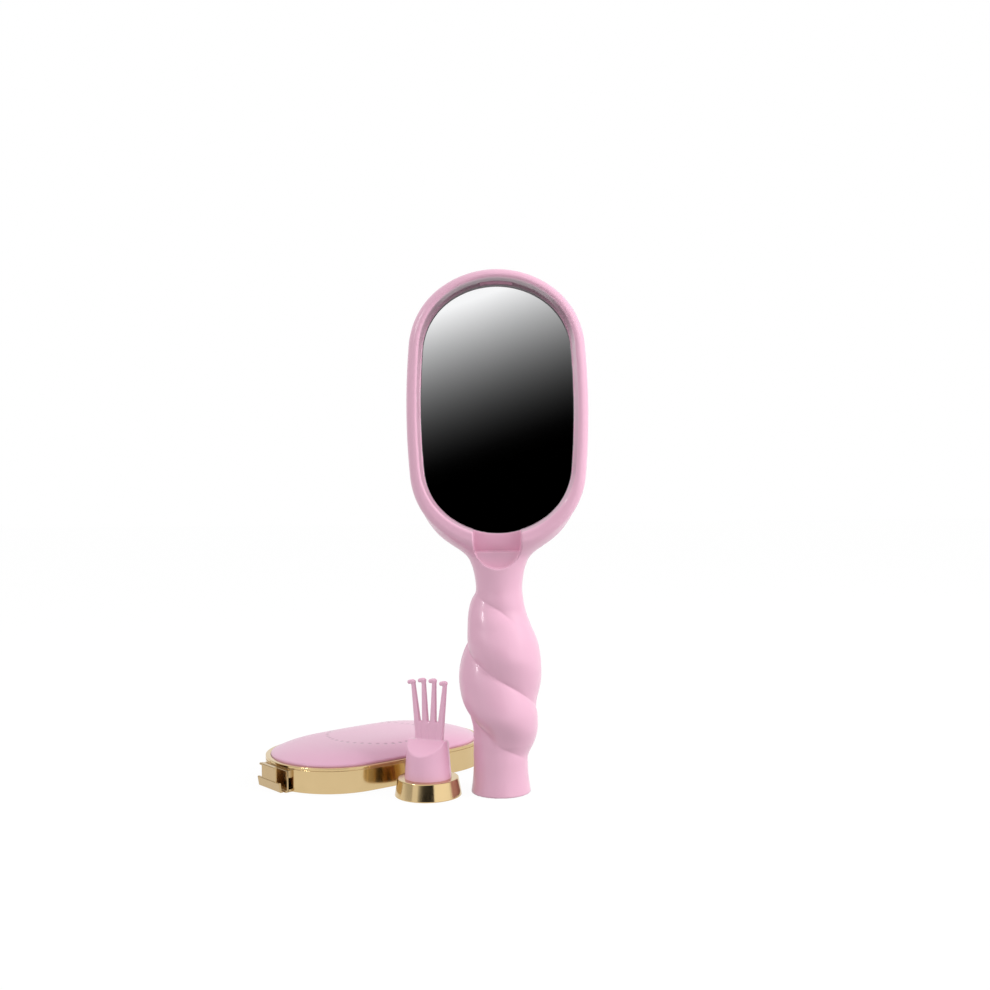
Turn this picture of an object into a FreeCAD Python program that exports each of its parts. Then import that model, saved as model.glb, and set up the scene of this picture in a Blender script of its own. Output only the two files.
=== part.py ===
import FreeCAD, Part
import math
import os

V = FreeCAD.Vector

# The brush stands on the end of its handle: +Z up, the mirror faces -Y, the bristles face +Y.
# The origin is the middle of the handle's foot. All lengths are in millimetres.
BRUSH_HEIGHT = 230.0
CUT_OVERRUN = 5.0
SEAT_GAP = 0.05

# Head: an oval ring, with the mirror's recess in front and the bristle cushion behind
HEAD_HALF_WIDTH = 39.7
HEAD_HALF_HEIGHT = 61.4
HEAD_FRONT = 13.5
HEAD_FRONT_ROUND = 2.8
HEAD_BACK_ROUND = 4.0
LIP_WIDTH = 4.6
LIP_BEVEL = 0.8
RECESS_TOP_WALL = 3.8
RECESS_BOTTOM_WALL = 6.8
LEDGE_WIDTH = 1.9
end_radius_share = 1.046
corner_radius_share = 0.865
END_ARC_ANGLE = math.radians(35.5)

# Latch notch at the foot of the recess, and the tongue's pocket at its top
NOTCH_HALF_WIDTH = 10.4
NOTCH_REACH = 14.6
NOTCH_SHELF_DROP = 7.6
NOTCH_SHELF_DEPTH = 6.0
POCKET_REACH = 1.8
POCKET_CLEARANCE = 0.4

# Stack inside the head, from the mirror's face at the parting plane to the back
GLASS_THICKNESS = 1.8
GLASS_OVERLAP = 1.4
GLASS_CLEARANCE = 0.15
TAPE_THICKNESS = 0.6
TAPE_MARGIN = 3.0
CARRIER_THICKNESS = 1.8
FLANGE_THICKNESS = 1.6
FRAME_THICKNESS = 2.7
FRAME_WIDTH = 3.4

# Bristle cushion: a crowned pad with an air space under it
CUSHION_RISE = 8.2
CUSHION_WALL = 2.2
crown_draw_share = 0.6
CROWN_STEPS = 7

# Bristle tufts and the pins between them, in staggered rows
TUFT_PITCH_ACROSS = 8.6
TUFT_PITCH_ALONG = 8.0
TUFT_MARGIN = 3.6
stagger_share = 0.5
TUFT_ROOT_RADIUS = 1.25
TUFT_TIP_RADIUS = 1.9
TUFT_LENGTH = 17.0
PIN_RADIUS = 0.6
pin_tip_share = 0.9
PIN_LENGTH = 18.5
ROOT_DEPTH = 1.6

# Handle: a plain foot round the rake's socket, a grip of two twisted strands, and a neck
SOCKET_RADIUS = 10.4
SOCKET_DEPTH = 46.0
SLEEVE_WALL = 0.5
SLEEVE_END = 1.2
FOOT_WALL = 2.35
ANKLE_WALL = 1.1
ANKLE_HEIGHT = 14.0
NECK_RADIUS = 10.25
NECK_LENGTH = 17.2
NECK_SETBACK = 0.5
BLEND_RISE = 10.4
GRIP_SWELL = 7.3
VALLEY_DEPTH = 3.2
HALF_TURN_RISE = 29.8
END_TURN_RISE = 18.0
SHELL_WALL = 2.2
SHELL_TOP_WALL = 5.0
SPIGOT_RADIUS = 5.5
SPIGOT_LENGTH = 3.0
SECTION_STEP = 2.4
SECTION_POINTS = 15

# How the two strands swell, and the two valleys between them deepen, from the ankle to the neck
strand_height_shares = (0, 0.053, 0.105, 0.197, 0.296, 0.395, 0.492, 0.579, 0.684, 0.789, 0.882, 0.947, 1)
upper_strand_shares = (0, 0, 0.02, 0.11, 0.545, 0.885, 0.99, 1.02, 0.875, 0.585, 0.416, 0.28, 0)
lower_strand_shares = (0, 0.2, 0.43, 0.77, 0.93, 0.92, 0.965, 0.945, 0.83, 0.435, 0.14, 0.035, 0)
long_valley_shares = (0, 0.06, 0.16, 0.18, 0.26, 0.72, 0.91, 1, 1, 0.88, 0.47, 0.28, 0)
end_valley_shares = (0, 0.28, 0.5, 1.05, 1, 0.7, 0.31, 0.12, 0, 0.08, 0.56, 0.28, 0)
twist_middle_share = 0.492
FRONT_ANGLE = math.radians(270)

# How the neck widens into the head, from the neck's narrowest place up
neck_height_shares = (0, 0.21, 0.37, 0.453, 0.533, 0.612, 0.692, 0.775, 0.855, 1)
neck_width_shares = (0, 0.037, 0.1, 0.159, 0.242, 0.378, 0.575, 0.768, 0.9, 1)
neck_depth_shares = (0, 0.1, 0.24, 0.33, 0.43, 0.55, 0.68, 0.8, 0.9, 1)

# Cover: a gold rim round a pink domed plate, lying beside the brush as deep as the recess is
COVER_CLEARANCE = 0.5
COVER_END_CLEARANCE = 1.3
COVER_X = -60.2
COVER_Y = 44.8
COVER_TURN = math.radians(40.6)
RIM_HEIGHT = 11.4
RIM_WALL = 1.4
RIM_LIP = 2.4
RIM_LIP_THICKNESS = 1.0
RIM_GROOVE = 0.4
RIM_EDGE_ROUND = 0.3
PLATE_GAP = 0.1
PLATE_FLANGE = 1.2
PLATE_CROWN = 5.8
dome_power = 3.4
dome_top_share = 0.12
TRAY_INSET = 0.5
TRAY_FLOOR = 1.5
TRAY_WALL = 2.5
TONGUE_HALF_WIDTH = 7.2
TONGUE_REACH = 2.4
TONGUE_THICKNESS = 2.4

# Spring clip at the cover's other end: outward reach from the rim, and height above the cover's back
CLIP_HALF_WIDTH = 9.6
CLIP_LEG_HALF_WIDTH = 11.0
CLIP_PANEL_HALF_WIDTH = 6.3
CLIP_SHEET = 0.8
CLIP_LEG_HEIGHT = 9.6
CLIP_FOOT_PAD_HEIGHT = 1.2
CLIP_HEAD_PAD_HEIGHT = 3.2
CLIP_HINGE_REACH = 1.7
CLIP_HINGE_GAP = 0.25
CLIP_FOOT_REACH = 3.4
CLIP_STEP_REACH = 4.2
CLIP_STEP_HEIGHT = 4.4
CLIP_PANEL_REACH = 3.8
CLIP_FLANGE_REACH = 4.9
CLIP_FLANGE_THICKNESS = 0.9
CLIP_TOP_GAP = 0.3

# Cleaning rake, standing beside the brush: a plug that fits the socket, four tines, and a gold foot
RAKE_X = -32.1
RAKE_Y = -4.4
RAKE_TURN = math.radians(-22)
RAKE_FOOT_HEIGHT = 7.7
RAKE_FOOT_FLARE = 1.4
RAKE_FOOT_PROUD = 0.15
RAKE_FOOT_ROUND = 0.5
PLUG_CLEARANCE = 0.1
PLUG_HEIGHT = 16.5
PLUG_TAPER = 1.2
WEDGE_DROP = 6.2
RIDGE_HALF_DEPTH = 1.7
TINE_COUNT = 4
TINE_HEIGHT = 27.3
TINE_FALL = 1.0
TINE_WEB_HEIGHT = 8.2
TINE_ROOT_PITCH = 3.13
TINE_TIP_PITCH = 5.16
TINE_ROW_SHIFT = 0.9
TINE_ROOT_WIDTH = 3.0
TINE_WEB_SETBACK = 0.3
TINE_TIP_WIDTH = 1.7
HOOK_REACH = 2.8
HOOK_HEIGHT = 1.6
SCREW_HEAD_RADIUS = 2.6
SCREW_HEAD_HEIGHT = 1.8
SCREW_RADIUS = 1.3
SCREW_LENGTH = 13.0
SCREW_RECESS = 0.6
SCREW_CLEARANCE = 0.2

# Sizes that follow from those above
HEAD_CENTRE_Z = BRUSH_HEIGHT - HEAD_HALF_HEIGHT
HEAD_BOTTOM_Z = HEAD_CENTRE_Z - HEAD_HALF_HEIGHT
NECK_TOP_Z = HEAD_BOTTOM_Z + BLEND_RISE
NECK_HEIGHT = HEAD_BOTTOM_Z - NECK_LENGTH
RECESS_HALF_WIDTH = HEAD_HALF_WIDTH - LIP_WIDTH
RECESS_HALF_HEIGHT = HEAD_HALF_HEIGHT - (RECESS_TOP_WALL + RECESS_BOTTOM_WALL) / 2
RECESS_CENTRE_Z = BRUSH_HEIGHT - RECESS_TOP_WALL - RECESS_HALF_HEIGHT
RECESS_BOTTOM_Z = RECESS_CENTRE_Z - RECESS_HALF_HEIGHT
LEDGE_Y = RIM_HEIGHT - HEAD_FRONT
GLASS_INSET = LEDGE_WIDTH - GLASS_OVERLAP
CAVITY_INSET = GLASS_INSET - GLASS_CLEARANCE
TAPE_Y = GLASS_THICKNESS
CARRIER_Y = TAPE_Y + TAPE_THICKNESS
FLANGE_Y = CARRIER_Y + CARRIER_THICKNESS
FRAME_Y = FLANGE_Y + FLANGE_THICKNESS
HEAD_BACK = FRAME_Y + FRAME_THICKNESS
CUSHION_INSET = GLASS_INSET + FRAME_WIDTH + SEAT_GAP
SLEEVE_RADIUS = SOCKET_RADIUS + SLEEVE_WALL
FOOT_RADIUS = SLEEVE_RADIUS + FOOT_WALL
ANKLE_RADIUS = SLEEVE_RADIUS + ANKLE_WALL
COVER_HALF_WIDTH = RECESS_HALF_WIDTH - COVER_CLEARANCE
COVER_HALF_LENGTH = RECESS_HALF_HEIGHT - COVER_END_CLEARANCE


class Oval:
    """A long oval of three arcs a quarter: end, corner and side. Insets keep the arcs' centres."""

    def __init__(self, half_width, half_length):
        self.end = end_radius_share * half_width
        self.corner = corner_radius_share * half_width
        self.end_centre = (0.0, half_length - self.end)
        slide = self.end - self.corner
        self.corner_centre = (slide * math.sin(END_ARC_ANGLE),
                              self.end_centre[1] + slide * math.cos(END_ARC_ANGLE))
        across = self.corner_centre[0] - half_width
        along = self.corner_centre[1]
        self.side = (self.corner ** 2 - across ** 2 - along ** 2) / (2 * (across + self.corner))
        self.side_centre = (half_width - self.side, 0.0)
        self.side_angle = math.atan2(self.corner_centre[0] - self.side_centre[0], along)

    def quarter_arcs(self):
        """Centre, radius, first and last angle from the long axis."""
        return ((self.end_centre, self.end, 0.0, END_ARC_ANGLE),
                (self.corner_centre, self.corner, END_ARC_ANGLE, self.side_angle),
                (self.side_centre, self.side, self.side_angle, math.pi / 2))

    def wire(self, inset, place):
        """The closed outline, with each (across, along) point sent through place."""
        def point(arc, angle, mirror_across, mirror_along):
            centre, radius = arc[0], arc[1] - inset
            across = centre[0] + radius * math.sin(angle)
            along = centre[1] + radius * math.cos(angle)
            return place(across * mirror_across, along * mirror_along)
        end, corner, side = self.quarter_arcs()
        edges = []
        for quarter in ((1, 1), (1, -1), (-1, -1), (-1, 1)):
            forward = quarter[0] * quarter[1] > 0
            for arc in ((end, corner, side) if forward else (side, corner, end)):
                first, last = (arc[2], arc[3]) if forward else (arc[3], arc[2])
                angles = (first, (first + last) / 2, last)
                ends = [point(arc, angle, *quarter) for angle in angles]
                edges.append(Part.Arc(*ends).toShape())
        return Part.Wire(edges)

    def depth_inside(self, across, along):
        """How far a point lies inside the outline."""
        across, along = abs(across), abs(along)
        for centre, radius, _, last in self.quarter_arcs():
            offset = (across - centre[0], along - centre[1])
            if math.atan2(offset[0], offset[1]) % math.tau <= last:
                return radius - math.hypot(*offset)
        return 0.0

    def half_width_at(self, along):
        """Half the outline's width at a distance along its long axis."""
        for centre, radius, _, last in self.quarter_arcs():
            if abs(along) >= centre[1] + radius * math.cos(last):
                return centre[0] + math.sqrt(radius ** 2 - (abs(along) - centre[1]) ** 2)
        return 0.0


head_oval = Oval(HEAD_HALF_WIDTH, HEAD_HALF_HEIGHT)
recess_oval = Oval(RECESS_HALF_WIDTH, RECESS_HALF_HEIGHT)
cover_oval = Oval(COVER_HALF_WIDTH, COVER_HALF_LENGTH)
X_AXIS, Y_AXIS, Z_AXIS = V(1, 0, 0), V(0, 1, 0), V(0, 0, 1)


def prism(wire, direction, length):
    return Part.Face(wire).extrude(direction * length)


def head_wire(y, inset=0.0):
    return head_oval.wire(inset, lambda across, along: V(across, y, HEAD_CENTRE_Z + along))


def recess_wire(y, inset=0.0):
    return recess_oval.wire(inset, lambda across, along: V(across, y, RECESS_CENTRE_Z + along))


def recess_slab(y, thickness, inset=0.0):
    return prism(recess_wire(y, inset), Y_AXIS, thickness)


def cover_wire(z, inset=0.0, share=1.0):
    """The cover's outline at a height, inset and then drawn in towards its middle to a share of its size."""
    return cover_oval.wire(inset, lambda across, along: V(along * share, across * share, z))


def cover_slab(z, thickness, inset=0.0):
    return prism(cover_wire(z, inset), Z_AXIS, thickness)


def block(low, high):
    return Part.makeBox(high.x - low.x, high.y - low.y, high.z - low.z, low)


def flat_edges(shape, axis, level):
    """The edges that lie in one plane square to an axis: 0, 1 or 2."""
    found = []
    for edge in shape.Edges:
        box = edge.BoundBox
        low, high = ((box.XMin, box.XMax), (box.YMin, box.YMax), (box.ZMin, box.ZMax))[axis]
        if abs(low - level) < SEAT_GAP and abs(high - level) < SEAT_GAP:
            found.append(edge)
    return found


def smooth_share(heights, values, height):
    """A value between the table's rows, on a curve with no overshoot."""
    for row in range(len(heights) - 1):
        if height <= heights[row + 1]:
            break
    step = heights[row + 1] - heights[row]
    slopes = []
    for end in (row, row + 1):
        below = max(end - 1, 0)
        above = min(end + 1, len(heights) - 1)
        rise_below = values[end] - values[below]
        rise_above = values[above] - values[end]
        mean = (values[above] - values[below]) / (heights[above] - heights[below])
        slopes.append(mean if rise_below * rise_above > 0 else 0.0)
    t = (height - heights[row]) / step
    rest = 1 - t
    ends = values[row] * rest ** 2 * (1 + 2 * t) + values[row + 1] * t ** 2 * (1 + 2 * rest)
    return ends + step * t * rest * (slopes[0] * rest - slopes[1] * t)


def valley_angle(z):
    """Where the long valley lies round the grip: left-handed, and tighter near the two ends."""
    middle = ANKLE_HEIGHT + twist_middle_share * (NECK_HEIGHT - ANKLE_HEIGHT)
    climb = min(max(z, ANKLE_HEIGHT), NECK_HEIGHT) - middle
    even = min(max(climb, -HALF_TURN_RISE), HALF_TURN_RISE)
    return FRONT_ANGLE - math.pi * (even / HALF_TURN_RISE + (climb - even) / END_TURN_RISE)


def valley_shape(angle):
    return 1 - abs(math.sin(angle)) if math.cos(angle) > 0 else 0.0


def grip_radius(angle, z):
    """The handle's radius from its foot up to the neck."""
    if z <= ANKLE_HEIGHT:
        flare = (1 - z / ANKLE_HEIGHT) ** 2
        return ANKLE_RADIUS + (FOOT_RADIUS - ANKLE_RADIUS) * flare
    share = (z - ANKLE_HEIGHT) / (NECK_HEIGHT - ANKLE_HEIGHT)
    upper, lower, long_valley, end_valley = (
        smooth_share(strand_height_shares, table, share)
        for table in (upper_strand_shares, lower_strand_shares, long_valley_shares, end_valley_shares))
    core = ANKLE_RADIUS + (NECK_RADIUS - ANKLE_RADIUS) * share
    around = angle - valley_angle(z)
    swell = (upper + lower) / 2 + (upper - lower) / 2 * math.cos(around - math.pi / 2)
    sink = long_valley * valley_shape(around) + end_valley * valley_shape(around - math.pi)
    return core + GRIP_SWELL * swell - VALLEY_DEPTH * sink


def neck_radius(angle, z):
    """The neck's radius as it widens and deepens until it ends inside the head."""
    share = (z - NECK_HEIGHT) / (NECK_TOP_Z - NECK_HEIGHT)
    wide = smooth_share(neck_height_shares, neck_width_shares, share)
    deep = smooth_share(neck_height_shares, neck_depth_shares, share)
    top_width = head_oval.half_width_at(HEAD_HALF_HEIGHT - BLEND_RISE) - NECK_SETBACK
    top_depth = (HEAD_FRONT if math.sin(angle) < 0 else HEAD_BACK) - NECK_SETBACK
    width = NECK_RADIUS + wide * (top_width - NECK_RADIUS)
    depth = NECK_RADIUS + deep * (top_depth - NECK_RADIUS)
    return 1 / math.hypot(math.cos(angle) / width, math.sin(angle) / depth)


def half_section(z, radius_at, half):
    """Points from one valley round to the other. The radius is eased out by what a cubic draws in."""
    step_angle = math.pi / SECTION_POINTS
    ease = 3 / (2 + math.cos(step_angle))
    points = []
    for step in range(SECTION_POINTS + 1):
        angle = valley_angle(z) + math.pi * half + step_angle * step
        radius = radius_at(angle) * (1 if step in (0, SECTION_POINTS) else ease)
        points.append(V(radius * math.cos(angle), radius * math.sin(angle), z))
    return points


def clamped_knots(count):
    """Knots and their multiplicities for a cubic with this many poles."""
    knots = list(range(count - 2))
    return knots, [4] + [1] * (len(knots) - 2) + [4]


def column_solid(sections):
    """A closed column of two smooth sides that meet in the valleys. Each section is a height and a radius."""
    sides = []
    for half in (0, 1):
        poles = [half_section(z, radius_at, half) for z, radius_at in sections]
        along_knots, along_counts = clamped_knots(len(poles))
        around_knots, around_counts = clamped_knots(len(poles[0]))
        surface = Part.BSplineSurface()
        surface.buildFromPolesMultsKnots(poles, along_counts, around_counts, along_knots, around_knots,
                                         False, False, 3, 3)
        sides.append(surface.toShape())
    caps = []
    for z, radius_at in (sections[0], sections[-1]):
        rims = [edge for side in sides for edge in flat_edges(side, 2, z)]
        caps.append(Part.Face(Part.Wire(rims)))
    shell = Part.makeShell(sides + caps)
    shell.sewShape()
    return Part.makeSolid(shell)


def even_heights(low, high):
    steps = max(2, round((high - low) / SECTION_STEP))
    return [low + (high - low) * step / steps for step in range(steps + 1)]


def level_sections(heights, radius_at):
    """Sections of a column. radius_at takes an angle and a height."""
    return [(z, lambda angle, z=z: radius_at(angle, z)) for z in heights]


def handle_column():
    """Foot, grip and neck in one, from the floor up into the head."""
    grip_heights = even_heights(0, ANKLE_HEIGHT)[:-1] + even_heights(ANKLE_HEIGHT, NECK_HEIGHT)
    neck_heights = even_heights(NECK_HEIGHT, NECK_TOP_Z)[1:]
    return column_solid(level_sections(grip_heights, grip_radius) + level_sections(neck_heights, neck_radius))


def handle_hollow():
    heights = even_heights(ANKLE_HEIGHT, NECK_HEIGHT - SHELL_TOP_WALL)
    return column_solid(level_sections(heights, lambda angle, z: grip_radius(angle, z) - SHELL_WALL))


def head_ring():
    depth = HEAD_FRONT + HEAD_BACK
    ring = prism(head_wire(-HEAD_FRONT), Y_AXIS, depth)
    front_round = min(HEAD_FRONT_ROUND, LIP_WIDTH - LIP_BEVEL, RECESS_TOP_WALL - LIP_BEVEL)
    ring = ring.makeFillet(front_round, flat_edges(ring, 1, -HEAD_FRONT))
    return ring.makeFillet(HEAD_BACK_ROUND, flat_edges(ring, 1, HEAD_BACK))


def notch_cutter(half_width, bottom_z, floor_y):
    """A slot with a round lower end, open to the front and up into the recess."""
    centre_z = bottom_z + half_width
    front_y = -HEAD_FRONT - CUT_OVERRUN
    depth = floor_y - front_y
    round_end = Part.makeCylinder(half_width, depth, V(0, front_y, centre_z), Y_AXIS)
    shaft = block(V(-half_width, front_y, centre_z), V(half_width, floor_y, RECESS_CENTRE_Z))
    return round_end.fuse(shaft)


def front_cutters():
    """Everything that is cut out of the head's front."""
    front_y = -HEAD_FRONT - CUT_OVERRUN
    recess = recess_slab(front_y, LEDGE_Y - front_y)
    window = recess_slab(front_y, CUT_OVERRUN - front_y, LEDGE_WIDTH)
    bevel = Part.makeLoft([recess_wire(-HEAD_FRONT, -LIP_BEVEL), recess_wire(-HEAD_FRONT + LIP_BEVEL)], True)
    notch_bottom_z = RECESS_BOTTOM_Z - NOTCH_REACH
    shelf_z = RECESS_BOTTOM_Z - NOTCH_SHELF_DROP
    notch = notch_cutter(NOTCH_HALF_WIDTH, notch_bottom_z, -HEAD_FRONT + NOTCH_SHELF_DEPTH)
    deep = notch_cutter(NOTCH_HALF_WIDTH, notch_bottom_z, LEDGE_Y)
    above_shelf = block(V(-NOTCH_HALF_WIDTH, front_y, shelf_z),
                        V(NOTCH_HALF_WIDTH, LEDGE_Y, RECESS_CENTRE_Z))
    pocket_half_width = TONGUE_HALF_WIDTH + POCKET_CLEARANCE
    pocket_y = LEDGE_Y - TONGUE_THICKNESS - POCKET_CLEARANCE
    recess_top_z = RECESS_CENTRE_Z + RECESS_HALF_HEIGHT
    pocket = block(V(-pocket_half_width, pocket_y, RECESS_CENTRE_Z),
                   V(pocket_half_width, LEDGE_Y, recess_top_z + POCKET_REACH))
    return [recess, window, bevel, notch, deep.common(above_shelf), pocket]


def brush_shells():
    """Head and grip, joined by a spigot in the neck and parted in the plane of the mirror's face."""
    whole = handle_column().fuse(head_ring())
    seat = Part.makeCylinder(SLEEVE_RADIUS + SEAT_GAP, SOCKET_DEPTH + SLEEVE_END, V(0, 0, 0), Z_AXIS)
    whole = whole.cut([handle_hollow(), seat])
    span = BRUSH_HEIGHT + CUT_OVERRUN
    below_neck = block(V(-span, -span, -CUT_OVERRUN), V(span, span, NECK_HEIGHT))
    hole_depth = SPIGOT_LENGTH + SEAT_GAP
    spigot = Part.makeCylinder(SPIGOT_RADIUS, SPIGOT_LENGTH, V(0, 0, NECK_HEIGHT - SPIGOT_LENGTH), Z_AXIS)
    spigot_hole = Part.makeCylinder(SPIGOT_RADIUS + SEAT_GAP, hole_depth,
                                    V(0, 0, NECK_HEIGHT - hole_depth), Z_AXIS)
    head = whole.cut(below_neck).fuse(spigot)
    grip = whole.common(below_neck).cut(spigot_hole)
    front_space = block(V(-span, -span, -CUT_OVERRUN), V(span, 0, span))
    rear_space = block(V(-span, 0, -CUT_OVERRUN), V(span, span, span))
    cavity = recess_slab(-CUT_OVERRUN, HEAD_BACK + CUT_OVERRUN + CUT_OVERRUN, CAVITY_INSET)
    return {
        "front_shell": head.common(front_space).cut(front_cutters()),
        "rear_shell": head.common(rear_space).cut(cavity),
        "grip_front": grip.common(front_space),
        "grip_rear": grip.common(rear_space),
    }


def socket_sleeve():
    outside = Part.makeCylinder(SLEEVE_RADIUS, SOCKET_DEPTH + SLEEVE_END, V(0, 0, 0), Z_AXIS)
    bore = Part.makeCylinder(SOCKET_RADIUS, SOCKET_DEPTH + CUT_OVERRUN, V(0, 0, -CUT_OVERRUN), Z_AXIS)
    return outside.cut(bore)


def cushion_crown(inset, rise):
    """A crowned pad through ovals that draw in as they rise."""
    wires = []
    for step in range(CROWN_STEPS + 1):
        angle = math.pi / 2 * step / CROWN_STEPS
        draw = (RECESS_HALF_WIDTH - inset) * crown_draw_share * (1 - math.cos(angle))
        wires.append(recess_wire(FRAME_Y + rise * math.sin(angle), inset + draw))
    return Part.makeLoft(wires, True, True)


def crown_height(across, along):
    """The cushion's height over its flange at a point of the oval."""
    full_draw = (RECESS_HALF_WIDTH - CUSHION_INSET) * crown_draw_share
    draw = min(recess_oval.depth_inside(across, along) - CUSHION_INSET, full_draw)
    return CUSHION_RISE * math.sqrt(1 - (1 - draw / full_draw) ** 2)


def bristle_places(shift_share):
    """Places in staggered rows inside the cushion, all moved across by a share of the pitch."""
    places = []
    rows = math.ceil(RECESS_HALF_HEIGHT / TUFT_PITCH_ALONG)
    columns = math.ceil(RECESS_HALF_WIDTH / TUFT_PITCH_ACROSS)
    for row in range(-rows, rows + 1):
        for column in range(-columns, columns + 1):
            across = (column + stagger_share * (row % 2) + shift_share) * TUFT_PITCH_ACROSS
            along = row * TUFT_PITCH_ALONG
            if recess_oval.depth_inside(across, along) >= CUSHION_INSET + TUFT_MARGIN:
                places.append((across, along))
    return places


def bristle_group(places, shape_at):
    """One solid at each place, from a little way down in the cushion's skin."""
    solids = []
    for across, along in places:
        root_y = FRAME_Y + crown_height(across, along) - ROOT_DEPTH
        solids.append(shape_at(V(across, root_y, RECESS_CENTRE_Z + along)))
    return Part.makeCompound(solids)


def tuft(root):
    """A bundle of bristles that fans out from its root."""
    return Part.makeCone(TUFT_ROOT_RADIUS, TUFT_TIP_RADIUS, ROOT_DEPTH + TUFT_LENGTH, root, Y_AXIS)


def pin(root):
    """A plain pin with a round tip."""
    length = ROOT_DEPTH + PIN_LENGTH
    shaft = Part.makeCylinder(PIN_RADIUS, length, root, Y_AXIS)
    return shaft.makeFillet(pin_tip_share * PIN_RADIUS, flat_edges(shaft, 1, root.y + length))


def bristle_cushion(tuft_places, pin_places):
    flange = recess_slab(FLANGE_Y, FLANGE_THICKNESS, GLASS_INSET)
    inner_inset = CUSHION_INSET + CUSHION_WALL
    air = cushion_crown(inner_inset, CUSHION_RISE - CUSHION_WALL)
    air_below = recess_slab(FLANGE_Y - CUT_OVERRUN, FLANGE_THICKNESS + CUT_OVERRUN, inner_inset)
    pad = flange.fuse(cushion_crown(CUSHION_INSET, CUSHION_RISE)).cut([air, air_below])
    sockets = []
    tuft_spread = (TUFT_TIP_RADIUS - TUFT_ROOT_RADIUS) * ROOT_DEPTH / (ROOT_DEPTH + TUFT_LENGTH)
    for places, radius in ((tuft_places, TUFT_ROOT_RADIUS + tuft_spread), (pin_places, PIN_RADIUS)):
        for across, along in places:
            root = V(across, FRAME_Y + crown_height(across, along) - ROOT_DEPTH, RECESS_CENTRE_Z + along)
            sockets.append(Part.makeCylinder(radius + SEAT_GAP, ROOT_DEPTH + CUT_OVERRUN, root, Y_AXIS))
    return pad.cut(sockets)


def cushion_frame():
    ring = recess_slab(FRAME_Y, FRAME_THICKNESS, GLASS_INSET)
    return ring.cut(recess_slab(FRAME_Y - CUT_OVERRUN, FRAME_THICKNESS + CUT_OVERRUN + CUT_OVERRUN,
                                GLASS_INSET + FRAME_WIDTH))


def cover_rim():
    """The gold wall with its lip, a groove under the lip and the tongue that hooks into the recess."""
    wall = cover_slab(0, RIM_HEIGHT)
    wall = wall.makeFillet(RIM_EDGE_ROUND, flat_edges(wall, 2, RIM_HEIGHT) + flat_edges(wall, 2, 0))
    inside = cover_slab(-CUT_OVERRUN, RIM_HEIGHT - RIM_LIP_THICKNESS + CUT_OVERRUN, RIM_WALL)
    opening = cover_slab(-CUT_OVERRUN, RIM_HEIGHT + CUT_OVERRUN + CUT_OVERRUN, RIM_LIP)
    groove_z = RIM_HEIGHT - RIM_LIP_THICKNESS
    groove = cover_slab(groove_z, -RIM_GROOVE, -CUT_OVERRUN).cut(
        cover_slab(groove_z + CUT_OVERRUN, -RIM_GROOVE - CUT_OVERRUN - CUT_OVERRUN, RIM_GROOVE))
    tongue = block(V(COVER_HALF_LENGTH - RIM_WALL, -TONGUE_HALF_WIDTH, 0),
                   V(COVER_HALF_LENGTH + TONGUE_REACH, TONGUE_HALF_WIDTH, TONGUE_THICKNESS))
    return wall.fuse(tongue).cut([inside, opening, groove])


def cover_plate():
    """The pink dome: its flange lies under the rim's lip, its crown stands through the opening."""
    flange_z = RIM_HEIGHT - RIM_LIP_THICKNESS - PLATE_FLANGE
    flange = cover_slab(flange_z, PLATE_FLANGE, RIM_WALL + SEAT_GAP)
    edge_inset = RIM_LIP + PLATE_GAP
    neck = cover_slab(flange_z, PLATE_FLANGE + RIM_LIP_THICKNESS, edge_inset)
    wires = []
    for step in range(CROWN_STEPS + 1):
        share = 1 - (1 - dome_top_share) * step / CROWN_STEPS
        wires.append(cover_wire(RIM_HEIGHT + PLATE_CROWN * (1 - share ** dome_power), edge_inset, share))
    crown = Part.makeLoft(wires, True, True)
    return flange.fuse([neck, crown]).removeSplitter()


def cover_tray():
    """The back of the cover: a floor, and a wall that carries the plate's flange."""
    inset = RIM_WALL + SEAT_GAP
    top_z = RIM_HEIGHT - RIM_LIP_THICKNESS - PLATE_FLANGE
    floor_top_z = TRAY_INSET + TRAY_FLOOR
    body = cover_slab(TRAY_INSET, top_z - TRAY_INSET, inset)
    return body.cut(cover_slab(floor_top_z, top_z - floor_top_z + CUT_OVERRUN, inset + TRAY_WALL))


def clip_profile(points, half_width):
    """A bent strip along the cover's end: points are outward reach from the rim and height."""
    corners = [V(-COVER_HALF_LENGTH - reach, -half_width, height) for reach, height in points]
    return prism(Part.makePolygon(corners + corners[:1]), Y_AXIS, half_width + half_width)


def clip_bracket():
    """The fixed leg: flat against the rounded end of the rim, joined to it by two pads."""
    sheet = CLIP_SHEET
    hinge = CLIP_HINGE_REACH - CLIP_HINGE_GAP / 2
    leg = clip_profile(((0, 0), (hinge, 0), (hinge, sheet), (sheet, sheet),
                        (sheet, CLIP_LEG_HEIGHT), (0, CLIP_LEG_HEIGHT)), CLIP_LEG_HALF_WIDTH)
    pads = []
    for low, high in ((0, CLIP_FOOT_PAD_HEIGHT), (CLIP_LEG_HEIGHT - CLIP_HEAD_PAD_HEIGHT, CLIP_LEG_HEIGHT)):
        inner = -COVER_HALF_LENGTH
        pads.append(clip_profile(((0, low), (0, high), (inner, high), (inner, low)), CLIP_LEG_HALF_WIDTH))
    return leg.fuse(pads).cut(cover_slab(-CUT_OVERRUN, RIM_HEIGHT + CUT_OVERRUN)).removeSplitter()


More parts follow.
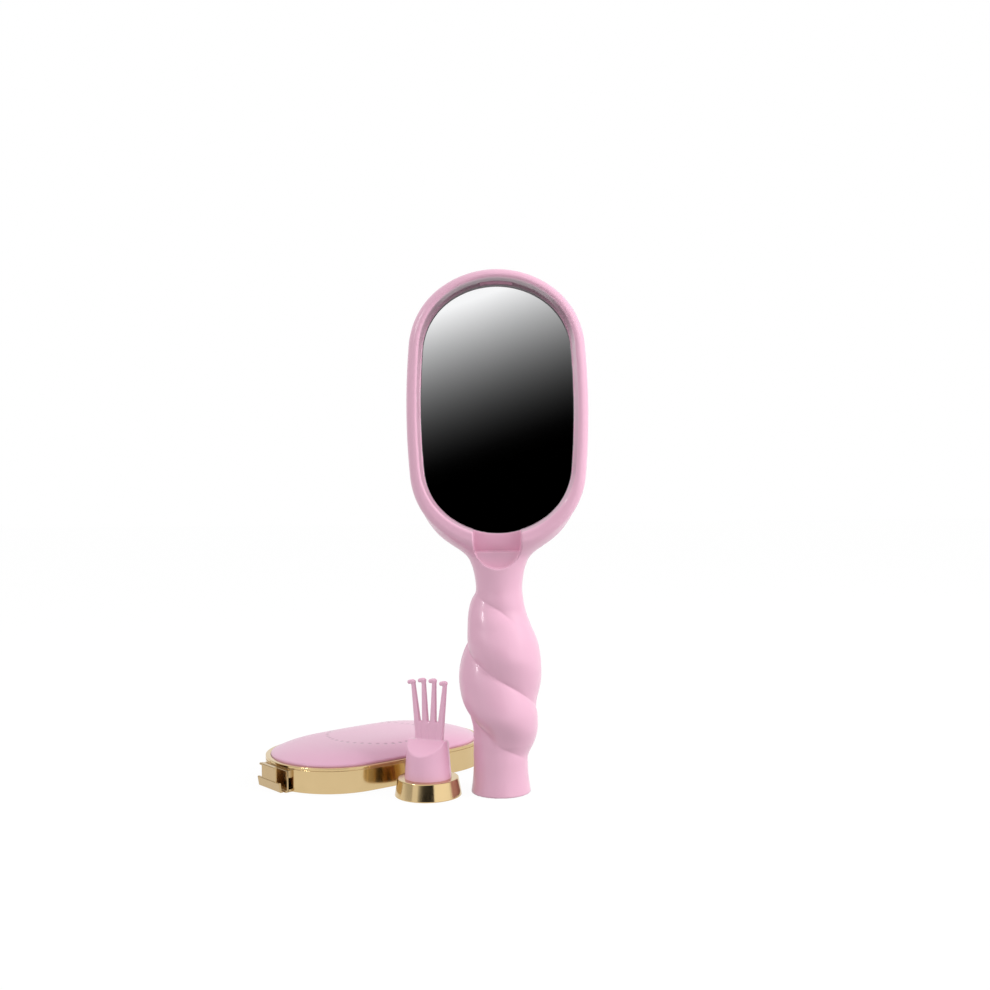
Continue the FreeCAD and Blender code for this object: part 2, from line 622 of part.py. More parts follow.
def latch_tab():
    """The sprung outer leg: a wide step that snaps into the notch, a narrower panel and a finger flange."""
    hinge = CLIP_HINGE_REACH + CLIP_HINGE_GAP / 2
    panel_inner = CLIP_PANEL_REACH - CLIP_SHEET
    top = RIM_HEIGHT - CLIP_TOP_GAP
    under_flange = top - CLIP_FLANGE_THICKNESS
    step = clip_profile(((hinge, 0), (CLIP_FOOT_REACH, 0), (CLIP_STEP_REACH, CLIP_STEP_HEIGHT),
                         (panel_inner, CLIP_STEP_HEIGHT), (CLIP_FOOT_REACH - CLIP_SHEET, CLIP_SHEET),
                         (hinge, CLIP_SHEET)), CLIP_HALF_WIDTH)
    panel = clip_profile(((panel_inner, CLIP_STEP_HEIGHT), (CLIP_PANEL_REACH, CLIP_STEP_HEIGHT),
                          (CLIP_PANEL_REACH, under_flange), (CLIP_FLANGE_REACH, under_flange),
                          (CLIP_FLANGE_REACH, top), (panel_inner, top)), CLIP_PANEL_HALF_WIDTH)
    return step.fuse(panel).removeSplitter()


def screw_shape(clearance):
    """The rake's screw, or with a clearance the space that it needs in the foot."""
    head_radius = SCREW_HEAD_RADIUS + clearance
    head_top_z = SCREW_RECESS + SCREW_HEAD_HEIGHT
    head = Part.makeCylinder(head_radius, SCREW_HEAD_HEIGHT, V(0, 0, SCREW_RECESS), Z_AXIS)
    shank = Part.makeCylinder(SCREW_RADIUS + clearance, SCREW_LENGTH, V(0, 0, head_top_z), Z_AXIS)
    return head.fuse(shank)


def rake_foot():
    top_radius = FOOT_RADIUS + RAKE_FOOT_PROUD
    cap = Part.makeCone(top_radius + RAKE_FOOT_FLARE, top_radius, RAKE_FOOT_HEIGHT)
    cap = cap.makeFillet(RAKE_FOOT_ROUND, flat_edges(cap, 2, RAKE_FOOT_HEIGHT))
    below = Part.makeCylinder(SCREW_HEAD_RADIUS + SCREW_CLEARANCE, SCREW_RECESS, V(0, 0, 0), Z_AXIS)
    head_seat = Part.makeCylinder(SCREW_HEAD_RADIUS + SCREW_CLEARANCE, SCREW_HEAD_HEIGHT,
                                  V(0, 0, SCREW_RECESS), Z_AXIS)
    hole = Part.makeCylinder(SCREW_RADIUS + SCREW_CLEARANCE, RAKE_FOOT_HEIGHT, V(0, 0, SCREW_RECESS), Z_AXIS)
    return cap.cut([below, head_seat, hole])


def tine(number):
    """One tine, fanned out from the plug's ridge, with a hook that points along the row."""
    place = number - (TINE_COUNT - 1) / 2
    outer_share = abs(place) / ((TINE_COUNT - 1) / 2)
    root_z = RAKE_FOOT_HEIGHT + PLUG_HEIGHT - RIDGE_HALF_DEPTH
    tip_z = RAKE_FOOT_HEIGHT + PLUG_HEIGHT + TINE_HEIGHT - TINE_FALL * outer_share ** 2

    def square(x, z, width):
        half = width / 2
        corners = [V(x - half, -half, z), V(x + half, -half, z), V(x + half, half, z), V(x - half, half, z)]
        return Part.makePolygon(corners + corners[:1])
    tip_x = TINE_ROW_SHIFT + place * TINE_TIP_PITCH
    root_x = TINE_ROW_SHIFT + place * TINE_ROOT_PITCH
    shaft = Part.makeLoft([square(root_x, root_z, TINE_ROOT_WIDTH),
                           square(tip_x, tip_z, TINE_TIP_WIDTH)], True, True)
    half = TINE_TIP_WIDTH / 2
    hook = block(V(tip_x - HOOK_REACH, -half, tip_z - HOOK_HEIGHT), V(tip_x + half, half, tip_z))
    elbow = [edge for edge in flat_edges(hook, 2, tip_z) if len(flat_edges(edge, 0, tip_x + half)) == 1]
    return shaft.fuse(hook.makeFillet(half, elbow))


def rake_comb():
    """The plug that fits the socket, cut to a ridge from two sides, and the tines that stand on it."""
    root_radius = SOCKET_RADIUS - PLUG_CLEARANCE
    top_z = RAKE_FOOT_HEIGHT + PLUG_HEIGHT
    foot_top = V(0, 0, RAKE_FOOT_HEIGHT)
    plug = Part.makeCone(root_radius, root_radius - PLUG_TAPER, PLUG_HEIGHT, foot_top, Z_AXIS)
    for side in (1, -1):
        slope = [V(0, side * RIDGE_HALF_DEPTH, top_z), V(0, side * root_radius, top_z - WEDGE_DROP),
                 V(0, side * (root_radius + CUT_OVERRUN), top_z - WEDGE_DROP),
                 V(0, side * (root_radius + CUT_OVERRUN), top_z + CUT_OVERRUN),
                 V(0, side * RIDGE_HALF_DEPTH, top_z + CUT_OVERRUN)]
        slope = [corner - X_AXIS * (root_radius + CUT_OVERRUN) for corner in slope]
        wedge = prism(Part.makePolygon(slope + slope[:1]), X_AXIS, 2 * (root_radius + CUT_OVERRUN))
        plug = plug.cut(wedge)
    web_half_width = TINE_ROOT_PITCH * (TINE_COUNT - 1) / 2
    web_half_depth = TINE_ROOT_WIDTH / 2 - TINE_WEB_SETBACK
    web = block(V(TINE_ROW_SHIFT - web_half_width, -web_half_depth, top_z - RIDGE_HALF_DEPTH),
                V(TINE_ROW_SHIFT + web_half_width, web_half_depth, top_z + TINE_WEB_HEIGHT))
    comb = plug.fuse([web] + [tine(number) for number in range(TINE_COUNT)])
    return comb.cut(screw_shape(SEAT_GAP)).removeSplitter()


def placed(shape, x, y, turn):
    """A piece of the cover or the rake, brought to where it lies beside the brush."""
    rotation = FreeCAD.Rotation(Z_AXIS, math.degrees(turn))
    return shape.transformed(FreeCAD.Placement(V(x, y, 0), rotation).toMatrix())


def build():
    tuft_places = bristle_places(0.0)
    pin_places = bristle_places(stagger_share)
    brush = {
        **brush_shells(),
        "socket_sleeve": socket_sleeve(),
        "mirror_glass": recess_slab(0, GLASS_THICKNESS, GLASS_INSET),
        "mirror_tape": recess_slab(TAPE_Y, TAPE_THICKNESS, GLASS_INSET + TAPE_MARGIN),
        "carrier_plate": recess_slab(CARRIER_Y, CARRIER_THICKNESS, GLASS_INSET),
        "bristle_cushion": bristle_cushion(tuft_places, pin_places),
        "cushion_frame": cushion_frame(),
        "boar_tufts": bristle_group(tuft_places, tuft),
        "nylon_pins": bristle_group(pin_places, pin),
    }
    cover = {
        "cover_rim": cover_rim(),
        "cover_plate": cover_plate(),
        "cover_tray": cover_tray(),
        "clip_bracket": clip_bracket(),
        "latch_tab": latch_tab(),
    }
    rake = {
        "rake_foot": rake_foot(),
        "rake_comb": rake_comb(),
        "rake_screw": screw_shape(0.0),
    }
    pieces = dict(brush)
    for name, shape in cover.items():
        pieces[name] = placed(shape, COVER_X, COVER_Y, COVER_TURN)
    for name, shape in rake.items():
        pieces[name] = placed(shape, RAKE_X, RAKE_Y, RAKE_TURN)
    return pieces


os.makedirs("parts", exist_ok=True)
for name, shape in build().items():
    shape.exportStep("parts/" + name + ".step")
    box = shape.BoundBox
    print(name, "solids", len(shape.Solids), "valid", shape.isValid(), "volume", round(shape.Volume),
          "box", [round(value, 1) for value in (box.XMin, box.YMin, box.ZMin, box.XMax, box.YMax, box.ZMax)])
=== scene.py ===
import math

import bmesh
import bpy
import numpy as np
from mathutils import Matrix, Vector


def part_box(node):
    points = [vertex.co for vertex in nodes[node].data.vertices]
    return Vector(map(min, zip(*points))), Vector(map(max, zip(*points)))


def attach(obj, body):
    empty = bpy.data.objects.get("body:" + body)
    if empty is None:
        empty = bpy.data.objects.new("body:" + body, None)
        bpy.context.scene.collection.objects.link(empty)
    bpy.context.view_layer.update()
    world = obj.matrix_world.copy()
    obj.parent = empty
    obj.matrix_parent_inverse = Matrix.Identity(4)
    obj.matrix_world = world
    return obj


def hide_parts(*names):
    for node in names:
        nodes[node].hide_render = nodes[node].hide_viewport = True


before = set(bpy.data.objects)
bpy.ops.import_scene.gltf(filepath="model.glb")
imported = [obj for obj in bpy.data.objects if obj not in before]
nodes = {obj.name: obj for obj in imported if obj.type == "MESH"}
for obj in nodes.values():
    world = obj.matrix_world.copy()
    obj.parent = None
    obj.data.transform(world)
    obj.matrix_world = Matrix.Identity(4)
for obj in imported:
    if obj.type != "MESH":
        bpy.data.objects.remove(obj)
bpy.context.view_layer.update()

# Lengths are in metres; the brush's are written as millimetres times MM. The frame is the part's own: +Z up,
# the mirror faces -Y and the bristles face +Y, with the origin in the middle of the handle's foot.
MM = 0.001

# Oval of the head, the recess and the cover: three arcs a quarter
END_RADIUS_SHARE = 1.046
CORNER_RADIUS_SHARE = 0.865
END_ARC_ANGLE = math.radians(35.5)

# Head and recess
HEAD_HALF_WIDTH = 39.7 * MM
HEAD_HALF_HEIGHT = 61.4 * MM
HEAD_TOP = 230.0 * MM
HEAD_CENTRE_Z = HEAD_TOP - HEAD_HALF_HEIGHT
HEAD_FRONT = 13.5 * MM
HEAD_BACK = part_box("cushion_frame")[1].y
LIP_ROUND_ACROSS = 3.4 * MM
LIP_ROUND_DEEP = 4.8 * MM
BACK_ROUND = 4.0 * MM
LIP_WIDTH = 4.6 * MM
RECESS_HALF_WIDTH = HEAD_HALF_WIDTH - LIP_WIDTH
RECESS_HALF_HEIGHT = 56.1 * MM
RECESS_CENTRE_Z = 170.1 * MM
RECESS_DRAFT = 0.9 * MM
WINDOW_INSET = 1.25 * MM
WINDOW_DROP = 0.6 * MM
LEDGE_Y = -2.1 * MM
LIP_EDGE_ROUND = 1.2 * MM
NOTCH_HALF_WIDTH = 10.4 * MM
NOTCH_CENTRE_X = -0.6 * MM
NOTCH_BOTTOM_Z = 99.4 * MM
NOTCH_SHELF_Z = 106.7 * MM
NOTCH_SHELF_Y = -7.5 * MM
NOTCH_EDGE_ROUND = 0.5 * MM
POCKET_HALF_WIDTH = 7.6 * MM
POCKET_Y = -4.9 * MM
POCKET_TOP_Z = 228.0 * MM
CAVITY_INSET = 0.35 * MM
PARTING_GAP = 0.03 * MM
# Painted shade: the colour of the window's wall round the mirror and of the recess's roof is darkened towards
# this.
RECESS_SHADE = (0.02, 0.015, 0.018, 1)
RECESS_SHADE_ACROSS = 37.2 * MM
RECESS_SHADE_ALONG = 59.3 * MM
RECESS_SHADE_POWER = 2.6
RECESS_SHADE_EDGE = (1.02, 0.98)
RECESS_SHADE_FACING = -0.2
RECESS_SHADE_START = 0.15 * MM
ROOF_SHADE = 0.72
ROOF_SHADE_LOW = 186.0 * MM
ROOF_SHADE_HIGH = 222.0 * MM
ROOF_SHADE_NEAR = -12.9 * MM
ROOF_SHADE_FAR = -9.0 * MM
SHELL_STEP = 0.5 * MM

# Handle
SOCKET_MOUTH_RADIUS = 10.95 * MM
SOCKET_MOUTH_DEPTH = 1.2 * MM
SOCKET_WALL_RADIUS = 10.6 * MM
SOCKET_TOP_OVERLAP = 0.5 * MM
SOCKET_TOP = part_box("socket_sleeve")[1].z - SOCKET_TOP_OVERLAP
FOOT_RADIUS = 13.25 * MM
ANKLE_RADIUS = 12.0 * MM
ANKLE_HEIGHT = 14.0 * MM
NECK_RADIUS = 10.25 * MM
NECK_HEIGHT = 90.0 * MM
NECK_TOP_Z = 124.2 * MM
NECK_TOP_WIDTH = 32.5 * MM
NECK_SETBACK = 0.5 * MM
NECK_BLEND = 3.0 * MM
NECK_BLEND_LEAST = 1.5 * MM
NECK_BLEND_FADE = 12.0 * MM
NECK_SQUARENESS = 0.8
GRIP_SWELL = 7.3 * MM
VALLEY_DEPTH = 3.2 * MM
CREASE_DEPTH = 0.45 * MM
CREASE_WIDTH_SHARE = 0.11
HALF_TURN_RISE = 29.8 * MM
END_TURN_RISE = 18.0 * MM
FOOT_EDGE_ROUND = 0.4 * MM
TWIST_MIDDLE_SHARE = 0.492
FRONT_ANGLE = math.radians(270)
HANDLE_REACH = 19.4 * MM
LEAST_RADIUS = 11.4 * MM
LEAST_RADIUS_ROUND = 0.4 * MM
STRAND_HEIGHT_SHARES = (0, 0.053, 0.105, 0.197, 0.296, 0.395, 0.492, 0.579, 0.684, 0.789, 0.882, 0.947, 1)
UPPER_STRAND_SHARES = (0, 0, 0.02, 0.11, 0.545, 0.885, 0.99, 1.02, 0.875, 0.585, 0.416, 0.28, 0)
LOWER_STRAND_SHARES = (0, 0.2, 0.43, 0.77, 0.93, 0.92, 0.965, 0.945, 0.83, 0.435, 0.14, 0.035, 0)
LONG_VALLEY_SHARES = (0, 0.06, 0.16, 0.18, 0.26, 0.72, 0.91, 1, 1, 0.88, 0.47, 0.28, 0)
END_VALLEY_SHARES = (0, 0.28, 0.5, 1.05, 1, 0.7, 0.31, 0.12, 0, 0.08, 0.56, 0.28, 0)
NECK_HEIGHT_SHARES = (0, 0.17, 0.3, 0.43, 0.49, 0.56, 0.63, 0.69, 0.75, 0.82, 0.88, 1)
NECK_WIDTH_SHARES = (0, 0.027, 0.075, 0.18, 0.28, 0.43, 0.575, 0.685, 0.775, 0.855, 0.92, 1)
NECK_DEPTH_SHARES = (0, 0.11, 0.29, 0.5, 0.63, 0.79, 0.91, 0.97, 1, 1, 1, 1)

# Bristle side
PAD_BASE_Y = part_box("cushion_frame")[0].y
PAD_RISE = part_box("bristle_cushion")[1].y - PAD_BASE_Y
PAD_INSET = 3.95 * MM
PAD_DRAW_SHARE = 0.6
PAD_FULL_DRAW = PAD_DRAW_SHARE * (RECESS_HALF_WIDTH - PAD_INSET)
PAD_RING_INSET = 0.5 * MM
PAD_RING_WIDTH = 3.4 * MM
PAD_RING_SEAT_ROUND = 0.1 * MM
PAD_RING_OUTER_ROUND = 0.3 * MM
PAD_RING_INNER_ROUND = 0.8 * MM
ROOT_DIMPLE_DEPTH = 0.35 * MM
ROOT_DIMPLE_RADIUS = 1.7 * MM
TUFT_PITCH_ACROSS = 8.6 * MM
TUFT_PITCH_ALONG = 8.0 * MM
TUFT_MARGIN = 3.6 * MM
TUFT_LENGTH = 17.0 * MM
TUFT_ROOT_RADIUS = 1.05 * MM
TUFT_TIP_RADIUS = 1.8 * MM
HAIRS_PER_TUFT = 46
HAIR_RADIUS = 0.11 * MM
HAIR_BEND = 0.16 * MM
HAIR_TAPER = 0.6
HAIR_SHORTEST_SHARE = 0.86
HAIR_LEVELS = (0, 0.25, 0.5, 0.75, 1)
HAIR_SEED = 7
ROOT_DEPTH = 1.2 * MM
PIN_LENGTH = 18.5 * MM
PIN_RADIUS = 0.6 * MM
PIN_STEM_HEIGHTS = (0, 2 * MM, 8 * MM)
PIN_BALL_DROPS = (1.6 * MM, 1.1 * MM, 0.6 * MM, 0.25 * MM, 0.06 * MM, 0)
PIN_SWELL_SHARES = (1.0, 0.9, 0.62, 0.62, 0.86, 1.0, 0.86, 0.5, 0.08)

# Cover, lying beside the brush with its long axis along its own X
COVER_AT = (-60.2 * MM, 44.8 * MM, 0)
COVER_TURN = math.radians(40.6)
COVER_HALF_WIDTH = 34.6 * MM
COVER_HALF_LENGTH = 54.8 * MM
RIM_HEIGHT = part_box("cover_rim")[1].z
RIM_LIP = 2.4 * MM
RIM_LIP_THICKNESS = 1.0 * MM
RIM_WALL = 1.4 * MM
RIM_GROOVE = 0.4 * MM
RIM_FOOT_ROUND = 0.25 * MM
RIM_TOP_ROUND = 0.35 * MM
RIM_INNER_ROUND = 0.2 * MM
RIM_EDGE_ROUND = 0.1 * MM
RIM_GROOVE_ROUND = 0.08 * MM
DOME_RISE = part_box("cover_plate")[1].z - RIM_HEIGHT
DOME_POWER = 4.2
DOME_GAP = 0.12 * MM
DOME_BASE = 2.0 * MM
DOME_SHOULDER = 0.75 * MM
DOME_EDGE_HEIGHTS = ((1, -DOME_BASE), (1, 0.4 * DOME_SHOULDER), (0.9985, 0.75 * DOME_SHOULDER))
DOME_RING_SHARES = (0.994, 0.015)
DOME_RINGS = 60
TONGUE_HALF_WIDTH = 7.2 * MM
TONGUE_REACH = 2.4 * MM
TONGUE_THICKNESS = 2.4 * MM
TONGUE_ROOT_ROUND = 0.3 * MM
TONGUE_FOOT_ROUND = 0.5 * MM
TONGUE_TOP_ROUND = 0.8 * MM
DIMPLE_COUNT = 40
DIMPLE_ALONG = 23.6 * MM
DIMPLE_ACROSS = 22.6 * MM
DIMPLE_RADIUS = 1.3 * MM
# Painted shade: how much darker the dimples' colour is drawn.
MARK_PAINTED_SHADE = 0.68

# Spring clip: reach outward from the rim's end, and height
CLIP_HALF_WIDTH = 9.6 * MM
CLIP_LEG_HALF_WIDTH = 11.0 * MM
CLIP_PANEL_HALF_WIDTH = 6.3 * MM
CLIP_SHEET = 0.8 * MM
CLIP_LEG_HEIGHT = 9.6 * MM
CLIP_LEG_REACH = 1.57 * MM
CLIP_TAB_REACH = 1.83 * MM
CLIP_PAD_REACH = 2.1 * MM
CLIP_FOOT_PAD_HEIGHT = 1.2 * MM
CLIP_HEAD_PAD_HEIGHT = 3.2 * MM
CLIP_FOOT_REACH = 3.4 * MM
CLIP_STEP_REACH = 4.2 * MM
CLIP_STEP_HEIGHT = 4.4 * MM
CLIP_PANEL_REACH = 3.8 * MM
CLIP_FLANGE_REACH = 4.9 * MM
CLIP_FLANGE_THICKNESS = 0.9 * MM
CLIP_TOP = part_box("latch_tab")[1].z
CLIP_BEND = 0.4 * MM
CLIP_TIGHT_BEND = 0.15 * MM
CLIP_EDGE = 0.16 * MM

# Rake, standing beside the brush
RAKE_AT = (-32.1 * MM, -4.4 * MM, 0)
RAKE_TURN = math.radians(-22)
RAKE_FOOT_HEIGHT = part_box("rake_foot")[1].z
RAKE_FOOT_LOW_RADIUS = 14.8 * MM
RAKE_FOOT_TOP_RADIUS = 13.4 * MM
RAKE_HOLE_RADIUS = 1.5 * MM
RAKE_SEAT_RADIUS = 2.8 * MM
RAKE_SEAT_TOP = 2.4 * MM
RAKE_SEAT_ROUND = 0.1 * MM
RAKE_FOOT_LOW_ROUND = 0.3 * MM
RAKE_FOOT_TOP_ROUND = 0.5 * MM
PLUG_RADIUS = 10.3 * MM
PLUG_TAPER = 1.2 * MM
PLUG_HEIGHT = 16.5 * MM
PLUG_TOP = RAKE_FOOT_HEIGHT + PLUG_HEIGHT
PLUG_SINK = 0.3 * MM
WEDGE_DROP = 6.2 * MM
RIDGE_HALF_DEPTH = 1.7 * MM
RAKE_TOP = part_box("rake_comb")[1].z
TINE_COUNT = 4
TINE_FALL = 1.0 * MM
TINE_WEB_HEIGHT = 8.2 * MM
TINE_WEB_SETBACK = 0.3 * MM
TINE_WEB_ROUND = 1.2 * MM
TINE_BLEND = 0.5 * MM
ROOT_BLEND = 0.8 * MM
PLUG_EDGE_ROUND = 0.5 * MM
TINE_ROOT_PITCH = 3.13 * MM
TINE_TIP_PITCH = 5.16 * MM
TINE_ROW_SHIFT = 0.9 * MM
TINE_ROOT_HALF = 1.5 * MM
TINE_TIP_HALF = 0.85 * MM
TINE_EDGE = 0.5 * MM
HOOK_REACH = 2.8 * MM
HOOK_DROOP = 0.35 * MM
HOOK_RADIUS = 0.92 * MM
RAKE_STEP = 0.28 * MM

# Camera, light and panels, in metres and watts
CAMERA_AT = (-1.392 * MM, -501.55 * MM, 134.1 * MM)
CAMERA_PITCH = -0.00507
CAMERA_ROLL = 0.01004
CAMERA_LENS = 41.066
CAMERA_SENSOR = 36
CAMERA_CLIP_START = 0.01
SKY_STRENGTHS = (0.30, 0.92, 1.0)
SKY_RISE = 0.7
FLOOR_REACH = 4.0
FLOOR_Z = -0.1 * MM
FLOOR_GLOW = 1.06
FLOOR_GLOW_SHARE = 0.9
KEY_AT, KEY_TARGET, KEY_SIZE, KEY_WATTS = (0.80, -0.23, 0.52), (0, 0, 0.12), (0.55, 0.5), 6.2
FILL_AT, FILL_TARGET, FILL_SIZE, FILL_WATTS = (-0.87, -0.5, 0.7), (0, 0, 0.1), (0.10, 0.26), 2.2
FLAG_HALF_WIDTH, FLAG_Y, FLAG_HEIGHT = 0.85, -1.2, 0.78
FLAG_LEAN = 0.35
FLAG_FADE = (0.163, 0.431)
FLAG_FADE_POWER = 3.15
SIDE_FLAG_X, SIDE_FLAG_HALF_WIDTH, SIDE_FLAG_HEIGHT = -1.0, 0.7, 0.6
BRIGHT_PANEL_NEAR, BRIGHT_PANEL_FAR, BRIGHT_PANEL_HEIGHT = (0.4, -1.0), (1.0, -0.1), 0.8
BLACK = (0, 0, 0, 1)
WHITE = (1, 1, 1, 1)


class Oval:
    """A long oval of three arcs a quarter: end, corner and side. Insets keep the arcs' centres."""

    def __init__(self, half_width, half_length):
        self.half_width = half_width
        self.end = END_RADIUS_SHARE * half_width
        self.corner = CORNER_RADIUS_SHARE * half_width
        self.end_along = half_length - self.end
        slide = self.end - self.corner
        self.corner_across = slide * math.sin(END_ARC_ANGLE)
        self.corner_along = self.end_along + slide * math.cos(END_ARC_ANGLE)
        across = self.corner_across - half_width
        self.side = (self.corner ** 2 - across ** 2 - self.corner_along ** 2) / (2 * (across + self.corner))
        self.side_across = half_width - self.side
        self.side_angle = math.atan2(self.corner_across - self.side_across, self.corner_along)

    def distance(self, across, along):
        """How far points lie outside the outline; negative inside."""
        a, b = np.abs(across), np.abs(along)
        found = np.hypot(a - self.side_across, b) - self.side
        near_corner = np.arctan2(a - self.corner_across, b - self.corner_along) % math.tau <= self.side_angle
        corner = np.hypot(a - self.corner_across, b - self.corner_along) - self.corner
        found = np.where(near_corner, corner, found)
        near_end = np.arctan2(a, b - self.end_along) % math.tau <= END_ARC_ANGLE
        return np.where(near_end, np.hypot(a, b - self.end_along) - self.end, found)

    def points(self, count):
        """Evenly spread points round the outline: across, along, and the outward direction's two parts."""
        quarter = ((0.0, self.end_along, self.end, 0.0, END_ARC_ANGLE),
                   (self.corner_across, self.corner_along, self.corner, END_ARC_ANGLE, self.side_angle),
                   (self.side_across, 0.0, self.side, self.side_angle, math.pi / 2))
        ends = np.cumsum([0.0] + [radius * (last - first) for _, _, radius, first, last in quarter])
        rows = []
        for place in np.arange(count // 4) / (count // 4) * ends[-1]:
            arc = min(int(np.searchsorted(ends, place, side="right")) - 1, 2)
            x, y, radius, first, _ = quarter[arc]
            angle = first + (place - ends[arc]) / radius
            across, along = math.sin(angle), math.cos(angle)
            rows.append((x + radius * across, y + radius * along, across, along))
        first = np.array(rows)
        second = np.roll(first[::-1], 1, axis=0) * (1, -1, 1, -1)
        second[0] = (self.half_width, 0, 1, 0)
        return np.concatenate((first, second, -first, -second))


head_oval = Oval(HEAD_HALF_WIDTH, HEAD_HALF_HEIGHT)
recess_oval = Oval(RECESS_HALF_WIDTH, RECESS_HALF_HEIGHT)
cover_oval = Oval(COVER_HALF_WIDTH, COVER_HALF_LENGTH)
cover_place = Matrix.Translation(COVER_AT) @ Matrix.Rotation(COVER_TURN, 4, "Z")
rake_place = Matrix.Translation(RAKE_AT) @ Matrix.Rotation(RAKE_TURN, 4, "Z")
pad_place = Matrix(((0, 1, 0, 0), (0, 0, 1, 0), (1, 0, 0, RECESS_CENTRE_Z), (0, 0, 0, 1)))


def smooth_min(first, second, reach):
    share = np.clip(0.5 + 0.5 * (second - first) / reach, 0, 1)
    return second * (1 - share) + first * share - reach * share * (1 - share)


def smooth_max(first, second, reach):
    return -smooth_min(-first, -second, reach)


def smooth_table(heights, values):
    """A fine copy of a given table, on a curve with no overshoot."""
    heights, values = np.array(heights, float), np.array(values, float)
    slopes = np.gradient(values, heights)
    rises = np.diff(values)
    turning = np.concatenate(([True], rises[:-1] * rises[1:] <= 0, [True]))
    slopes[turning] = 0
    fine = np.linspace(heights[0], heights[-1], 400)
    row = np.clip(np.searchsorted(heights, fine, side="right") - 1, 0, len(heights) - 2)
    step = heights[row + 1] - heights[row]
    t = (fine - heights[row]) / step
    rest = 1 - t
    curve = values[row] * rest ** 2 * (1 + 2 * t) + values[row + 1] * t ** 2 * (1 + 2 * rest)
    curve += step * t * rest * (slopes[row] * rest - slopes[row + 1] * t)
    return lambda share: np.interp(share, fine, curve)


upper_strand = smooth_table(STRAND_HEIGHT_SHARES, UPPER_STRAND_SHARES)
lower_strand = smooth_table(STRAND_HEIGHT_SHARES, LOWER_STRAND_SHARES)
long_valley = smooth_table(STRAND_HEIGHT_SHARES, LONG_VALLEY_SHARES)
end_valley = smooth_table(STRAND_HEIGHT_SHARES, END_VALLEY_SHARES)
neck_wide = smooth_table(NECK_HEIGHT_SHARES, NECK_WIDTH_SHARES)
neck_deep = smooth_table(NECK_HEIGHT_SHARES, NECK_DEPTH_SHARES)


def valley_shape(angle):
    """A wide valley with a fine crease in its bottom."""
    away = np.abs(np.sin(angle))
    crease = CREASE_DEPTH / VALLEY_DEPTH * np.exp(-away / CREASE_WIDTH_SHARE)
    return np.where(np.cos(angle) > 0, 1 - away + crease, 0)


def grip_radius(angle, z):
    """Foot and twisted grip: two strands that swell and fade, with a valley to each side."""
    flare = np.clip(1 - z / ANKLE_HEIGHT, 0, 1) ** 2
    share = np.clip((z - ANKLE_HEIGHT) / (NECK_HEIGHT - ANKLE_HEIGHT), 0, 1)
    middle = ANKLE_HEIGHT + TWIST_MIDDLE_SHARE * (NECK_HEIGHT - ANKLE_HEIGHT)
    climb = np.clip(z, ANKLE_HEIGHT, NECK_HEIGHT) - middle
    even = np.clip(climb, -HALF_TURN_RISE, HALF_TURN_RISE)
    around = angle - FRONT_ANGLE + math.pi * (even / HALF_TURN_RISE + (climb - even) / END_TURN_RISE)
    upper, lower = upper_strand(share), lower_strand(share)
    swell = (upper + lower) / 2 + (upper - lower) / 2 * np.sin(around)
    sink = long_valley(share) * valley_shape(around) + end_valley(share) * valley_shape(around - math.pi)
    core = ANKLE_RADIUS + (NECK_RADIUS - ANKLE_RADIUS) * share + (FOOT_RADIUS - ANKLE_RADIUS) * flare
    radius = core + GRIP_SWELL * swell - VALLEY_DEPTH * sink
    return np.where(z < SOCKET_TOP, smooth_max(radius, LEAST_RADIUS, LEAST_RADIUS_ROUND), radius)


def neck_radius(angle, z):
    """The neck's section is round at first and squarer as it widens into the head."""
    share = np.clip((z - NECK_HEIGHT) / (NECK_TOP_Z - NECK_HEIGHT), 0, 1)
    top_depth = np.where(np.sin(angle) < 0, HEAD_FRONT, HEAD_BACK) - NECK_SETBACK
    width = NECK_RADIUS + neck_wide(share) * (NECK_TOP_WIDTH - NECK_RADIUS)
    depth = NECK_RADIUS + neck_deep(share) * (top_depth - NECK_RADIUS)
    power = 2 + NECK_SQUARENESS * neck_wide(share)
    return (np.abs(np.cos(angle) / width) ** power + np.abs(np.sin(angle) / depth) ** power) ** (-1 / power)


def rounded_corner(across, deep, round_across, round_deep):
    """The field of an edge rounded as a quarter ellipse: both distances are negative inside."""
    u = np.maximum(across + round_across, 0) / round_across
    v = np.maximum(deep + round_deep, 0) / round_deep
    curved = (np.hypot(u, v) - 1) * round_across
    return np.where((u > 0) & (v > 0), curved, np.maximum(across, deep))


def head_field(x, y, z):
    """The oval head before anything is cut out of it: a soft lip in front, a rounder edge behind."""
    outline = head_oval.distance(x, z - HEAD_CENTRE_Z)
    front = rounded_corner(outline, -y - HEAD_FRONT, LIP_ROUND_ACROSS, LIP_ROUND_DEEP)
    back = rounded_corner(outline, y - HEAD_BACK, BACK_ROUND, BACK_ROUND)
    return np.where(y < 0, front, back)


def handle_field(x, y, z):
    angle = np.arctan2(y, x)
    radius = np.where(z < NECK_HEIGHT, grip_radius(angle, z), neck_radius(angle, z))
    column = smooth_max(np.hypot(x, y) - radius, -z, FOOT_EDGE_ROUND)
    return np.maximum(column, z - NECK_TOP_Z)


def notch_field(x, y, z):
    """The latch's notch: a slot with a round lower end, with a shelf half way down its depth."""
    centre_z = NOTCH_BOTTOM_Z + NOTCH_HALF_WIDTH
    aside = x - NOTCH_CENTRE_X
    slot = np.where(z < centre_z, np.hypot(aside, z - centre_z), np.abs(aside)) - NOTCH_HALF_WIDTH
    slot = np.maximum(slot, z - RECESS_CENTRE_Z)
    shallow = np.maximum(slot, y - NOTCH_SHELF_Y)
    deep = np.maximum(np.maximum(slot, y - LEDGE_Y), NOTCH_SHELF_Z - z)
    return np.minimum(shallow, deep)


